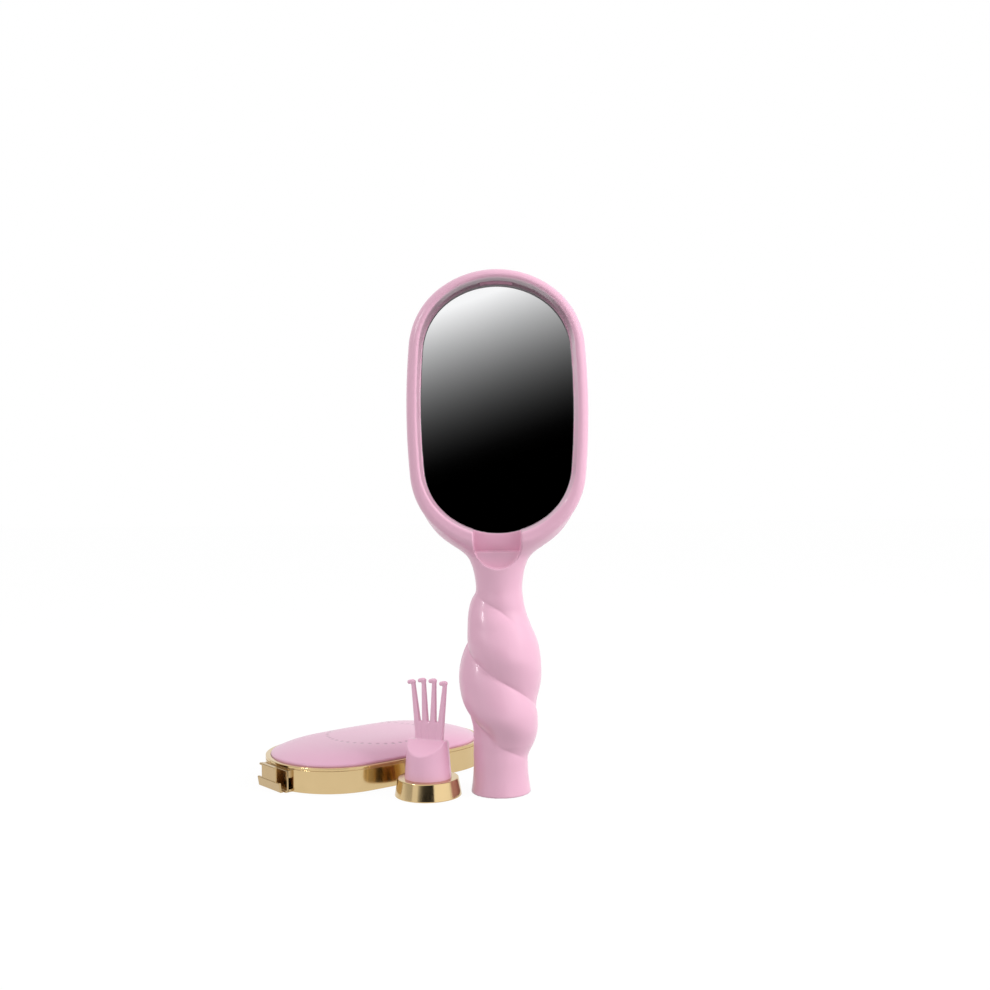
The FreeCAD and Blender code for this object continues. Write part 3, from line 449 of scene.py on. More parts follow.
def brush_field(x, y, z):
    """The handle and the head run together; the recess, notch, pocket and socket are cut out of them."""
    blend = NECK_BLEND_LEAST + NECK_BLEND * np.clip((NECK_TOP_Z - z) / NECK_BLEND_FADE, 0, 1)
    body = smooth_min(head_field(x, y, z), handle_field(x, y, z), blend)
    recess = recess_oval.distance(x, z - RECESS_CENTRE_Z)
    sunk = np.clip((y + HEAD_FRONT) / (LEDGE_Y + HEAD_FRONT), 0, 1)
    body = smooth_max(body, -np.maximum(recess + RECESS_DRAFT * sunk, y - LEDGE_Y), LIP_EDGE_ROUND)
    window = recess_oval.distance(x, z - RECESS_CENTRE_Z + WINDOW_DROP)
    body = np.maximum(body, -(window + WINDOW_INSET))
    body = smooth_max(body, -notch_field(x, y, z), NOTCH_EDGE_ROUND)
    pocket = np.maximum(np.abs(x) - POCKET_HALF_WIDTH, np.maximum(z - POCKET_TOP_Z, RECESS_CENTRE_Z - z))
    pocket = np.maximum(pocket, np.maximum(POCKET_Y - y, y - LEDGE_Y))
    body = np.maximum(body, -pocket)
    socket_radius = np.where(z < SOCKET_MOUTH_DEPTH, SOCKET_MOUTH_RADIUS, SOCKET_WALL_RADIUS)
    return np.maximum(body, -np.maximum(np.hypot(x, y) - socket_radius, z - SOCKET_TOP))


def front_field(x, y, z):
    return np.maximum(brush_field(x, y, z), y + PARTING_GAP)


def rear_field(x, y, z):
    cavity = recess_oval.distance(x, z - RECESS_CENTRE_Z) + CAVITY_INSET
    return np.maximum(np.maximum(brush_field(x, y, z), -cavity), PARTING_GAP - y)


def tine_field(x, y, z, number):
    """A tapered tine with soft edges, and a round hook that points along the row and droops a little."""
    place = number - (TINE_COUNT - 1) / 2
    outer_share = abs(place) / ((TINE_COUNT - 1) / 2)
    root_z = PLUG_TOP - RIDGE_HALF_DEPTH
    hook_z = RAKE_TOP - TINE_FALL * outer_share ** 2 - HOOK_RADIUS
    share = np.clip((z - root_z) / (hook_z - root_z), 0, 1)
    middle = TINE_ROW_SHIFT + place * (TINE_ROOT_PITCH + (TINE_TIP_PITCH - TINE_ROOT_PITCH) * share)
    half = TINE_ROOT_HALF + (TINE_TIP_HALF - TINE_ROOT_HALF) * share - TINE_EDGE
    u, v = np.abs(x - middle) - half, np.abs(y) - half
    shaft = np.hypot(np.maximum(u, 0), np.maximum(v, 0)) + np.minimum(np.maximum(u, v), 0) - TINE_EDGE
    shaft = np.maximum(shaft, np.maximum(root_z - z, z - hook_z))
    elbow_x = TINE_ROW_SHIFT + place * TINE_TIP_PITCH
    run = HOOK_REACH - HOOK_RADIUS
    along = np.clip((elbow_x - x) / run, 0, 1)
    hook = np.sqrt((x - elbow_x + run * along) ** 2 + y ** 2 + (z - hook_z + HOOK_DROOP * along ** 2) ** 2)
    return smooth_min(shaft, hook - HOOK_RADIUS, HOOK_RADIUS)


def comb_field(x, y, z):
    """The rake's plug, cut to a ridge from two sides, with the web and the tines that stand on it."""
    share = (z - RAKE_FOOT_HEIGHT) / (PLUG_TOP - RAKE_FOOT_HEIGHT)
    plug = np.hypot(x, y) - PLUG_RADIUS + PLUG_TAPER * share
    run = PLUG_RADIUS - RIDGE_HALF_DEPTH
    slope = (np.abs(y) - RIDGE_HALF_DEPTH) * WEDGE_DROP + (z - PLUG_TOP) * run
    plug = smooth_max(plug, slope / math.hypot(WEDGE_DROP, run), PLUG_EDGE_ROUND)
    plug = smooth_max(plug, z - PLUG_TOP, PLUG_EDGE_ROUND)
    plug = np.maximum(plug, RAKE_FOOT_HEIGHT - PLUG_SINK - z)
    web_half = TINE_ROOT_PITCH * (TINE_COUNT - 1) / 2
    web = np.maximum(np.abs(x - TINE_ROW_SHIFT) - web_half, np.abs(y) - TINE_ROOT_HALF + TINE_WEB_SETBACK)
    web = smooth_max(web, z - PLUG_TOP - TINE_WEB_HEIGHT, TINE_WEB_ROUND)
    web = np.maximum(web, PLUG_TOP - RIDGE_HALF_DEPTH - z)
    for number in range(TINE_COUNT):
        web = smooth_min(web, tine_field(x, y, z, number), TINE_BLEND)
    return smooth_min(plug, web, ROOT_BLEND)


def surface_net(field, low, high, step):
    """Vertices and quads of the surface where a field is zero, then drawn on to it exactly."""
    low, high = np.array(low, float), np.array(high, float)
    counts = np.ceil((high - low) / step).astype(int) + 1
    axes = [low[i] + step * np.arange(counts[i]) for i in range(3)]
    values = field(*np.meshgrid(*axes, indexing="ij"))
    inside = values < 0
    cells = np.zeros(counts - 1, np.uint8)
    offsets = [(i, j, k) for i in (0, 1) for j in (0, 1) for k in (0, 1)]
    for i, j, k in offsets:
        cells += inside[i:counts[0] - 1 + i, j:counts[1] - 1 + j, k:counts[2] - 1 + k]
    active = np.argwhere((cells > 0) & (cells < 8))
    number = np.full(counts - 1, -1, np.int64)
    number[tuple(active.T)] = np.arange(len(active))
    total = np.zeros((len(active), 3))
    hits = np.zeros(len(active))
    for axis in range(3):
        for start in offsets:
            if start[axis]:
                continue
            end = list(start)
            end[axis] = 1
            first = values[tuple((active + start).T)]
            second = values[tuple((active + end).T)]
            crossed = (first < 0) != (second < 0)
            share = np.where(crossed, first / np.where(crossed, first - second, 1), 0)
            place = np.tile(np.array(start, float), (len(active), 1))
            place[:, axis] = share
            total += place * crossed[:, None]
            hits += crossed
    points = low + step * (active + total / hits[:, None])
    quads = []
    for axis in range(3):
        u, v = (axis + 1) % 3, (axis + 2) % 3
        near = [slice(1, -1)] * 3
        far = [slice(1, -1)] * 3
        near[axis] = slice(0, -1)
        far[axis] = slice(1, None)
        first, second = inside[tuple(near)], inside[tuple(far)]
        edges = np.argwhere(first != second)
        flip = second[tuple(edges.T)]
        edges = edges + 1
        edges[:, axis] -= 1
        ring = []
        for du, dv in ((1, 1), (0, 1), (0, 0), (1, 0)):
            cell = edges.copy()
            cell[:, u] -= du
            cell[:, v] -= dv
            ring.append(number[tuple(cell.T)])
        ring = np.stack(ring, 1)
        ring[flip] = ring[flip][:, ::-1]
        quads.append(ring)
    return pulled_on(field, points, step), np.concatenate(quads)


def pulled_on(field, points, step):
    """Points near a surface, moved on to it along the field's slope."""
    small = step / 20
    for _ in range(4):
        value = field(*points.T)
        slope = np.empty_like(points)
        for axis in range(3):
            shift = np.zeros(3)
            shift[axis] = small
            slope[:, axis] = (field(*(points + shift).T) - field(*(points - shift).T)) / (2 * small)
        size = np.maximum((slope ** 2).sum(1), 0.05)
        move = slope * (value / size)[:, None]
        length = np.maximum(np.linalg.norm(move, axis=1), 1e-12)
        points = points - move * np.minimum(1, 0.4 * step / length)[:, None]
    return points


def rounded_outline(corners, steps=4):
    """A closed outline whose corners (u, v, radius) become short arcs, held by a point to each side."""
    points = []
    for number, (u, v, radius) in enumerate(corners):
        corner = np.array((u, v))
        before = np.array(corners[number - 1][:2]) - corner
        after = np.array(corners[(number + 1) % len(corners)][:2]) - corner
        before, after = before / np.linalg.norm(before), after / np.linalg.norm(after)
        half = math.acos(np.clip(before @ after, -1, 1)) / 2
        reach = radius / math.tan(half)
        middle = (before + after) / np.linalg.norm(before + after)
        centre = corner + middle * radius / math.sin(half)
        first, last = corner + before * reach - centre, corner + after * reach - centre
        turn = math.pi - 2 * half
        points.append(corner + before * reach * 1.4)
        for step in range(steps + 1):
            share = step / steps
            arm = first * math.sin((1 - share) * turn) + last * math.sin(share * turn)
            points.append(centre + arm / math.sin(turn))
        points.append(corner + after * reach * 1.4)
    return np.array(points)


def grid_faces(rows, columns, start=0, close_rows=True):
    """Quads over rows of points; each row is a closed ring."""
    faces = []
    for row in range(rows if close_rows else rows - 1):
        after = (row + 1) % rows
        for column in range(columns):
            beside = (column + 1) % columns
            faces.append((start + row * columns + column, start + row * columns + beside,
                          start + after * columns + beside, start + after * columns + column))
    return faces


def swept(oval, outline, count=320):
    """A closed outline of (inset, height) points carried round an oval that lies flat, long axis along X."""
    path = oval.points(count)
    inset, height = outline.T
    across = path[:, 0, None] - path[:, 2, None] * inset
    along = path[:, 1, None] - path[:, 3, None] * inset
    points = np.stack((along, across, np.broadcast_to(height, across.shape)), 2).reshape(-1, 3)
    return points, grid_faces(count, len(outline))


def lathed(outline, count=160):
    """A closed outline of (radius, height) points turned round the Z axis."""
    angles = np.arange(count) / count * math.tau
    radius, height = outline.T
    points = np.stack((np.cos(angles)[:, None] * radius, np.sin(angles)[:, None] * radius,
                       np.broadcast_to(height, (count, len(outline)))), 2)
    return points.reshape(-1, 3), grid_faces(count, len(outline))


def capped_rings(rings, top, bottom):
    """Rings from the lowest to the highest, closed by a point above and a point below."""
    count = len(rings[0])
    points = np.concatenate(list(rings) + [np.array((top, bottom))])
    faces = grid_faces(len(rings), count, close_rows=False)
    first_of_last = (len(rings) - 1) * count
    for column in range(count):
        beside = (column + 1) % count
        faces.append((first_of_last + column, first_of_last + beside, len(points) - 2))
        faces.append((beside, column, len(points) - 1))
    return points, faces


def prism(outline, low, high):
    """A closed outline of (reach, height) points carried along Y, at the cover's clip end."""
    reach, height = outline.T
    along = -COVER_HALF_LENGTH - reach
    sides = [np.stack((along, np.full(len(along), y), height), 1) for y in (low, high)]
    count = len(outline)
    faces = grid_faces(2, count, close_rows=False)
    faces += [tuple(range(count))[::-1], tuple(range(count, 2 * count))]
    return np.concatenate(sides), faces


def joined(*pieces):
    """Several sets of points and faces as one."""
    points, faces = [], []
    for piece_points, piece_faces in pieces:
        start = sum(len(part) for part in points)
        points.append(piece_points)
        faces += [tuple(start + corner for corner in face) for face in piece_faces]
    return np.concatenate(points), faces


def add_mesh(name, shape, place=None):
    """A new smooth-shaded piece from points and faces, with its faces turned outward."""
    points, faces = shape
    mesh = bpy.data.meshes.new(name)
    mesh.from_pydata(np.asarray(points).tolist(), [], [tuple(map(int, face)) for face in faces])
    mesh.validate()
    if place is not None:
        mesh.transform(place)
    edit = bmesh.new()
    edit.from_mesh(mesh)
    bmesh.ops.recalc_face_normals(edit, faces=edit.faces)
    edit.to_mesh(mesh)
    edit.free()
    mesh.polygons.foreach_set("use_smooth", np.ones(len(mesh.polygons), bool))
    piece = bpy.data.objects.new(name, mesh)
    bpy.context.scene.collection.objects.link(piece)
    return piece


def soften(piece, width):
    """Small round edges, with flat faces kept flat."""
    bevel = piece.modifiers.new("edges", "BEVEL")
    bevel.width = width
    bevel.segments = 3
    bevel.limit_method = "ANGLE"
    bevel.angle_limit = math.radians(50)
    piece.modifiers.new("flats", "WEIGHTED_NORMAL")


def settle(piece, body, slot, material, *replaced):
    """What every piece says: the body it rides on, its finish and the solids it stands for."""
    piece.data.materials.clear()
    piece.data.materials.append(material)
    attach(piece, body)
    if replaced:
        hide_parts(*replaced)
    return piece


class Value:
    """A socket of a tree's nodes. Sums, differences, products and powers of it add Math nodes."""

    def __init__(self, finish, socket):
        self.finish = finish
        self.socket = socket

    def __add__(self, other):
        return self.finish.maths("ADD", self, other)

    def __radd__(self, other):
        return self.finish.maths("ADD", other, self)

    def __sub__(self, other):
        return self.finish.maths("SUBTRACT", self, other)

    def __rsub__(self, other):
        return self.finish.maths("SUBTRACT", other, self)

    def __mul__(self, other):
        return self.finish.maths("MULTIPLY", self, other)

    def __rmul__(self, other):
        return self.finish.maths("MULTIPLY", other, self)

    def __truediv__(self, other):
        return self.finish.maths("DIVIDE", self, other)

    def __rtruediv__(self, other):
        return self.finish.maths("DIVIDE", other, self)

    def __pow__(self, other):
        return self.finish.maths("POWER", self, other)


class Finish:
    """The nodes of a material or of the world."""

    def __init__(self, owner):
        owner.use_nodes = True
        self.owner = owner
        self.tree = owner.node_tree
        self.tree.nodes.clear()

    def node(self, kind, settings=None, inputs=None, output=0):
        """A node of any kind: its settings first, then the values or links of its sockets."""
        made = self.tree.nodes.new(kind)
        for name, value in (settings or {}).items():
            if name == "stops":
                ramp = made.color_ramp
                while len(ramp.elements) < len(value):
                    ramp.elements.new(0.5)
                for element, (position, colour) in zip(ramp.elements, value):
                    element.position = position
                    element.color = colour
            else:
                setattr(made, name, value)
        for name, value in (inputs or {}).items():
            if isinstance(value, Value):
                self.tree.links.new(value.socket, made.inputs[name])
            else:
                made.inputs[name].default_value = value
        return Value(self, made.outputs[output]) if made.outputs else None

    def maths(self, operation, first, second=0.0):
        return self.node("ShaderNodeMath", {"operation": operation}, {0: first, 1: second})

    def place(self):
        return self.node("ShaderNodeTexCoord", output="Object")

    def axis(self, vector, name):
        return self.node("ShaderNodeSeparateXYZ", None, {"Vector": vector}, name)

    def noise(self, scale, detail=3.0, roughness=0.5, vector=None):
        inputs = {"Vector": vector or self.place(), "Scale": scale, "Detail": detail, "Roughness": roughness}
        return self.node("ShaderNodeTexNoise", inputs=inputs)

    def range(self, value, low, high, ease="LINEAR"):
        """A value taken from low..high to 0..1."""
        return self.node("ShaderNodeMapRange", {"interpolation_type": ease},
                         {"Value": value, "From Min": low, "From Max": high})

    def tint(self, factor, low, high):
        """A colour that runs from low to high with a factor."""
        return self.node("ShaderNodeMix", {"data_type": "RGBA"},
                         {"Factor": factor, "A": low, "B": high}, "Result")

    def ramp(self, factor, stops):
        return self.node("ShaderNodeValToRGB", {"stops": stops}, {"Fac": factor}, "Color")

    def bump(self, height, strength, distance):
        return self.node("ShaderNodeBump", None,
                         {"Strength": strength, "Distance": distance, "Height": height}, "Normal")

    def principled(self, **inputs):
        """A shader. Socket names are written with underscores."""
        sockets = {}
        for name, value in inputs.items():
            sockets[name.replace("_", " ").title().replace("Ior", "IOR")] = value
        return self.node("ShaderNodeBsdfPrincipled", None, sockets, "BSDF")

    def mix(self, factor, first, second):
        return self.node("ShaderNodeMixShader", None, {0: factor, 1: first, 2: second}, "Shader")

    def done(self, shader, kind="Material"):
        self.node("ShaderNodeOutput" + kind, None, {"Surface": shader})
        return self.owner


def new_finish(name):
    return Finish(bpy.data.materials.new(name))


def moulded_pink(name, colour, shade, roughness, relief_with_painted_shade=None, dark=None):
    """Satin moulded plastic: faint drifts of colour, a polished mould's fine skin, sunk dimples that are also
    darkened with painted shade, and painted shade in the places a mask gives.
    """
    finish = new_finish(name)
    drift = finish.noise(45, 2)
    speckle = finish.noise(900, 2)
    skin = finish.noise(2600, 2, 0.6)
    base = finish.tint(drift * 0.75 + speckle * 0.25, shade, colour)
    height = skin * 0.02
    # The dimples are sunk in the bump and also darkened in colour, which is painted shade.
    if relief_with_painted_shade:
        marks_with_painted_shade = relief_with_painted_shade(finish)
        height = height - marks_with_painted_shade
        base = finish.tint(marks_with_painted_shade, base, tuple(MARK_PAINTED_SHADE * part for part in shade[:3]) + (1,))
    # Painted shade: the colour is darkened where the given mask says.
    if dark:
        base = finish.tint(dark(finish), base, RECESS_SHADE)
    return finish.done(finish.principled(
        base_color=base, roughness=roughness - 0.05 + drift * 0.06 + speckle * 0.05,
        normal=finish.bump(height, 0.5, 0.0005), specular_ior_level=0.45,
        coat_weight=0.36 + speckle * 0.1, coat_roughness=0.14))


def dimple_row(finish):
    """An oval row of small dimples on the dome: 1 in the middle of each, 0 between them. It sinks them and
    also darkens them as painted shade.
    """
    place = finish.node("ShaderNodeMapping", {"vector_type": "TEXTURE"},
                        {"Vector": finish.place(), "Location": COVER_AT, "Rotation": (0, 0, COVER_TURN)},
                        "Vector")
    along = finish.axis(place, "X") / DIMPLE_ALONG
    across = finish.axis(place, "Y") / DIMPLE_ACROSS
    turns = finish.maths("ARCTAN2", across, along) * (DIMPLE_COUNT / math.tau)
    mean_radius = (DIMPLE_ALONG + DIMPLE_ACROSS) / 2
    beside = (finish.maths("FRACT", turns) - 0.5) * (math.tau * mean_radius / DIMPLE_COUNT)
    outside = ((along ** 2 + across ** 2) ** 0.5 - 1) * mean_radius
    away = (beside ** 2 + outside ** 2) ** 0.5
    return finish.range(away, DIMPLE_RADIUS, 0.2 * DIMPLE_RADIUS, "SMOOTHSTEP")


def painted_recess_shade(finish):
    """Painted shade: dark round the mirror, on the window's wall behind the ledge, and dim under the recess's
    roof.

    Only faces turned to the middle of the recess take it, so the head's outside stays pink."""
    place = finish.place()
    depth, height = finish.axis(place, "Y"), finish.axis(place, "Z")
    across = finish.maths("ABSOLUTE", finish.axis(place, "X") / RECESS_SHADE_ACROSS)
    along = finish.maths("ABSOLUTE", (height - RECESS_CENTRE_Z) / RECESS_SHADE_ALONG)
    within = finish.range(across ** RECESS_SHADE_POWER + along ** RECESS_SHADE_POWER, *RECESS_SHADE_EDGE)
    behind = finish.range(depth, LEDGE_Y + RECESS_SHADE_START, LEDGE_Y + 2 * RECESS_SHADE_START)
    roof = finish.range(height, ROOF_SHADE_LOW, ROOF_SHADE_HIGH)
    roof = roof * finish.range(depth, ROOF_SHADE_NEAR, ROOF_SHADE_FAR)
    facing = finish.node("ShaderNodeTexCoord", output="Normal")
    outward = finish.axis(facing, "X") * finish.axis(place, "X") / RECESS_HALF_WIDTH
    outward = outward + finish.axis(facing, "Z") * (height - RECESS_CENTRE_Z) / RECESS_HALF_HEIGHT
    inside = finish.range(outward, 0.0, RECESS_SHADE_FACING)
    return within * inside * finish.maths("MAXIMUM", behind, roof * ROOF_SHADE)


def polished_gold(name, colour, shade, roughness):
    """Polished pale gold plate with faint drawn lines and small stains."""
    finish = new_finish(name)
    stain = finish.noise(140, 3)
    stretched = finish.node("ShaderNodeVectorMath", {"operation": "MULTIPLY"},
                            {0: finish.place(), 1: (500, 500, 9000)}, "Vector")
    lines = finish.noise(1.0, 2, 0.5, stretched)
    base = finish.tint(stain, shade, colour)
    return finish.done(finish.principled(
        base_color=base, metallic=1.0, roughness=roughness + stain * 0.05 + lines * 0.03,
        normal=finish.bump(lines, 0.015, 0.00003)))


def silvered_glass():
    finish = new_finish("silvered_glass")
    haze = finish.noise(70, 4)
    base = finish.tint(haze, (0.90, 0.91, 0.92, 1), (0.95, 0.95, 0.955, 1))
    return finish.done(finish.principled(base_color=base, metallic=1.0, roughness=0.012 + haze * 0.016))


def pad_rubber():
    finish = new_finish("pad_rubber")
    drift = finish.noise(60, 3)
    grain = finish.noise(2200, 3, 0.65)
    base = finish.tint(drift * 0.6 + grain * 0.4, (0.56, 0.27, 0.37, 1), (0.72, 0.38, 0.49, 1))
    return finish.done(finish.principled(
        base_color=base, roughness=0.62 + grain * 0.14, specular_ior_level=0.35,
        normal=finish.bump(grain, 0.25, 0.00008)))


def bristle_hair():
    """Dark natural hair, lighter towards the split tips, with streaks from hair to hair."""
    finish = new_finish("bristle_hair")
    depth = finish.axis(finish.place(), "Y")
    tip = finish.range(depth, PAD_BASE_Y, PAD_BASE_Y + PAD_RISE + TUFT_LENGTH)
    streak = finish.noise(1500, 2)
    shade = finish.ramp(tip * 0.7 + streak * 0.5, (
        (0.2, (0.012, 0.008, 0.006, 1)), (0.65, (0.040, 0.024, 0.016, 1)), (1.0, (0.115, 0.068, 0.040, 1))))
    return finish.done(finish.principled(
        base_color=shade, roughness=0.36 + streak * 0.16, specular_ior_level=0.5))


def nylon():
    finish = new_finish("nylon")
    drift = finish.noise(400, 2)
    base = finish.tint(drift, (0.030, 0.018, 0.014, 1), (0.062, 0.038, 0.028, 1))
    return finish.done(finish.principled(
        base_color=base, roughness=0.22 + drift * 0.12, specular_ior_level=0.5))


def plain_moulding(name, colour, shade):
    finish = new_finish(name)
    drift = finish.noise(120, 3)
    skin = finish.noise(1800, 2)
    base = finish.tint(drift, shade, colour)
    return finish.done(finish.principled(base_color=base, roughness=0.5 + skin * 0.15,
                                         normal=finish.bump(skin, 0.1, 0.00005)))


def zinc_plate():
    finish = new_finish("zinc_plate")
    stain = finish.noise(500, 3)
    base = finish.tint(stain, (0.42, 0.42, 0.43, 1), (0.62, 0.62, 0.63, 1))
    return finish.done(finish.principled(base_color=base, metallic=1.0, roughness=0.28 + stain * 0.14))


BRUSH_PINKS = ((0.80, 0.456, 0.596, 1), (0.775, 0.436, 0.576, 1))
PINK = moulded_pink("pink_moulding", *BRUSH_PINKS, 0.40)
# The front shell's pink takes painted shade in the recess.
PINK_FRONT = moulded_pink("pink_front", *BRUSH_PINKS, 0.37, dark=painted_recess_shade)
# The dome's pink is drawn darker than the brush's: painted shade against the light on its upturned face.
PINK_DOME_SHADED = moulded_pink("pink_dome_shaded", (0.715, 0.385, 0.53, 1), (0.695, 0.37, 0.512, 1), 0.36, dimple_row)
# The rake's pink is drawn lighter than the brush's: painted light where the handle shades it.
PINK_RAKE_LIT = moulded_pink("pink_rake_lit", (0.84, 0.47, 0.63, 1), (0.81, 0.45, 0.605, 1), 0.38)
GOLD = polished_gold("pale_gold", (0.68, 0.505, 0.268, 1), (0.62, 0.458, 0.236, 1), 0.10)
# The spring clip's gold is drawn darker than the pale gold: painted shade for the dark its faces reflect.
GOLD_SPRING_SHADED = polished_gold("gold_spring", (0.56, 0.405, 0.215, 1), (0.50, 0.36, 0.185, 1), 0.14)


def build_shells():
    half = HEAD_HALF_WIDTH + 2 * SHELL_STEP
    margin = 2 * SHELL_STEP
    for name, field, near, far, material, replaced in (
            ("shell_front", front_field, -HANDLE_REACH, margin, PINK_FRONT, ("front_shell", "grip_front")),
            ("shell_rear", rear_field, -margin, HANDLE_REACH, PINK, ("rear_shell", "grip_rear"))):
        shape = surface_net(field, (-half, near, -margin), (half, far, HEAD_TOP + margin), SHELL_STEP)
        settle(add_mesh(name, shape), "brush", "pink_plastic", material, *replaced)


def pad_height(across, along):
    """How far the pad stands over its base at points of the oval."""
    draw = np.clip(-recess_oval.distance(across, along) - PAD_INSET, 0, PAD_FULL_DRAW)
    return PAD_RISE * np.sqrt(1 - (1 - draw / PAD_FULL_DRAW) ** 2)


def bristle_places(shift):
    """Places in staggered rows inside the pad, all moved across by a share of the pitch."""
    places = []
    rows = math.ceil(RECESS_HALF_HEIGHT / TUFT_PITCH_ALONG)
    columns = math.ceil(RECESS_HALF_WIDTH / TUFT_PITCH_ACROSS)
    for row in range(-rows, rows + 1):
        for column in range(-columns, columns + 1):
            across = (column + 0.5 * (row % 2) + shift) * TUFT_PITCH_ACROSS
            along = row * TUFT_PITCH_ALONG
            if -recess_oval.distance(across, along) >= PAD_INSET + TUFT_MARGIN:
                places.append((across, along))
    return np.array(places)


def build_pad(places):
    """The crowned rubber pad, drawn in a little round each root, and the ring that holds it."""
    path = recess_oval.points(360)
    edge = path[:, :2] - path[:, 2:] * PAD_INSET
    rings = [np.column_stack((edge[:, 1], edge[:, 0], np.full(len(edge), PAD_BASE_Y)))]
    for share in np.linspace(1, 0.012, 92):
        across, along = (edge * share).T
        height = PAD_BASE_Y + pad_height(across, along)
        for root_across, root_along in places:
            away = np.hypot(across - root_across, along - root_along) / ROOT_DIMPLE_RADIUS
            height = height - ROOT_DIMPLE_DEPTH * np.exp(-away ** 2)
        rings.append(np.column_stack((along, across, height)))
    shape = capped_rings(rings, (0, 0, PAD_BASE_Y + PAD_RISE - ROOT_DIMPLE_DEPTH), (0, 0, PAD_BASE_Y))
    pad = add_mesh("bristle_pad", shape, pad_place)
    settle(pad, "brush", "cushion_rubber", pad_rubber(), "bristle_cushion")
    inner = PAD_RING_INSET + PAD_RING_WIDTH
    outline = rounded_outline((
        (PAD_RING_INSET, PAD_BASE_Y, PAD_RING_SEAT_ROUND), (PAD_RING_INSET, HEAD_BACK, PAD_RING_OUTER_ROUND),
        (inner, HEAD_BACK, PAD_RING_INNER_ROUND), (inner, PAD_BASE_Y, PAD_RING_SEAT_ROUND)))
    ring = add_mesh("pad_ring", swept(recess_oval, outline), pad_place)
    settle(ring, "brush", "pink_plastic", PINK, "cushion_frame")


def tapered_rods(centres, radii, sides):
    """Thin rods: centres is rods x levels x 3, radii is rods x levels; sections lie square to Y."""
    rods, levels, _ = centres.shape
    angles = np.arange(sides) / sides * math.tau
    rings = np.repeat(centres[:, :, None, :], sides, axis=2)
    rings[..., 0] += radii[:, :, None] * np.cos(angles)
    rings[..., 2] += radii[:, :, None] * np.sin(angles)
    faces = []
    for rod in range(rods):
        start = rod * levels * sides
        faces += grid_faces(levels, sides, start, close_rows=False)
        faces.append(tuple(range(start, start + sides)))
        faces.append(tuple(range(start + (levels - 1) * sides, start + levels * sides)))
    return rings.reshape(-1, 3), faces


def build_tufts(places):
    """Each tuft is a bundle of fine hairs that fan out, bend a little and end at uneven heights."""
    random = np.random.default_rng(HAIR_SEED)
    hairs = len(places) * HAIRS_PER_TUFT
    root = np.repeat(places, HAIRS_PER_TUFT, axis=0)
    angle = random.uniform(0, math.tau, hairs)
    spread = np.sqrt(random.uniform(0, 1, hairs))
    fan = np.column_stack((np.cos(angle), np.sin(angle))) * spread[:, None]
    length = TUFT_LENGTH * random.uniform(HAIR_SHORTEST_SHARE, 1.0, hairs)
    bend = random.normal(0, HAIR_BEND, (hairs, 2))
    base_y = PAD_BASE_Y + pad_height(*root.T) - ROOT_DEPTH
    levels = np.array(HAIR_LEVELS)
    reach = TUFT_ROOT_RADIUS + (TUFT_TIP_RADIUS - TUFT_ROOT_RADIUS) * levels
    flat = root[:, None] + fan[:, None] * reach[:, None] + bend[:, None] * (levels ** 2)[:, None]
    rise = base_y[:, None] + (ROOT_DEPTH + length)[:, None] * levels
    centres = np.stack((flat[..., 0], rise, RECESS_CENTRE_Z + flat[..., 1]), 2)
    radii = np.tile(HAIR_RADIUS * (1 - HAIR_TAPER * levels ** 2), (hairs, 1))
    tufts = add_mesh("tufts", tapered_rods(centres, radii, 3))
    settle(tufts, "brush", "boar_bristle", bristle_hair(), "boar_tufts")


def build_pins(places):
    """Nylon pins that taper a little and end in a small ball."""
    base_y = PAD_BASE_Y + pad_height(*places.T) - ROOT_DEPTH
    length = ROOT_DEPTH + PIN_LENGTH
    levels = np.array(PIN_STEM_HEIGHTS + tuple(length - drop for drop in PIN_BALL_DROPS))
    centres = np.empty((len(places), len(levels), 3))
    centres[..., 0] = places[:, 0, None]
    centres[..., 1] = base_y[:, None] + levels
    centres[..., 2] = RECESS_CENTRE_Z + places[:, 1, None]
    radii = np.tile(PIN_RADIUS * np.array(PIN_SWELL_SHARES), (len(places), 1))
    settle(add_mesh("pins", tapered_rods(centres, radii, 10)), "brush", "nylon", nylon(), "nylon_pins")


def build_rim():
    """The gold wall with its lip, the groove under the lip, and the tongue at the far end."""
    groove_top = RIM_HEIGHT - RIM_LIP_THICKNESS
    groove_low = groove_top - RIM_GROOVE
    outline = rounded_outline((
        (0, 0, RIM_FOOT_ROUND), (0, groove_low, RIM_EDGE_ROUND), (RIM_GROOVE, groove_low, RIM_GROOVE_ROUND),
        (RIM_GROOVE, groove_top, RIM_GROOVE_ROUND), (0, groove_top, RIM_EDGE_ROUND),
        (0, RIM_HEIGHT, RIM_TOP_ROUND), (RIM_LIP, RIM_HEIGHT, RIM_INNER_ROUND),
        (RIM_LIP, groove_top, RIM_EDGE_ROUND), (RIM_WALL, groove_top, RIM_EDGE_ROUND),
        (RIM_WALL, 0, RIM_INNER_ROUND)))
    root = -2 * COVER_HALF_LENGTH + RIM_WALL
    tip = -2 * COVER_HALF_LENGTH - TONGUE_REACH
    tongue = rounded_outline((
        (root, 0, TONGUE_ROOT_ROUND), (tip, 0, TONGUE_FOOT_ROUND), (tip, TONGUE_THICKNESS, TONGUE_TOP_ROUND),
        (root, TONGUE_THICKNESS, TONGUE_ROOT_ROUND)))
    shape = joined(swept(cover_oval, outline), prism(tongue, -TONGUE_HALF_WIDTH, TONGUE_HALF_WIDTH))
    settle(add_mesh("gold_rim", shape, cover_place), "cover", "gold_trim", GOLD, "cover_rim")


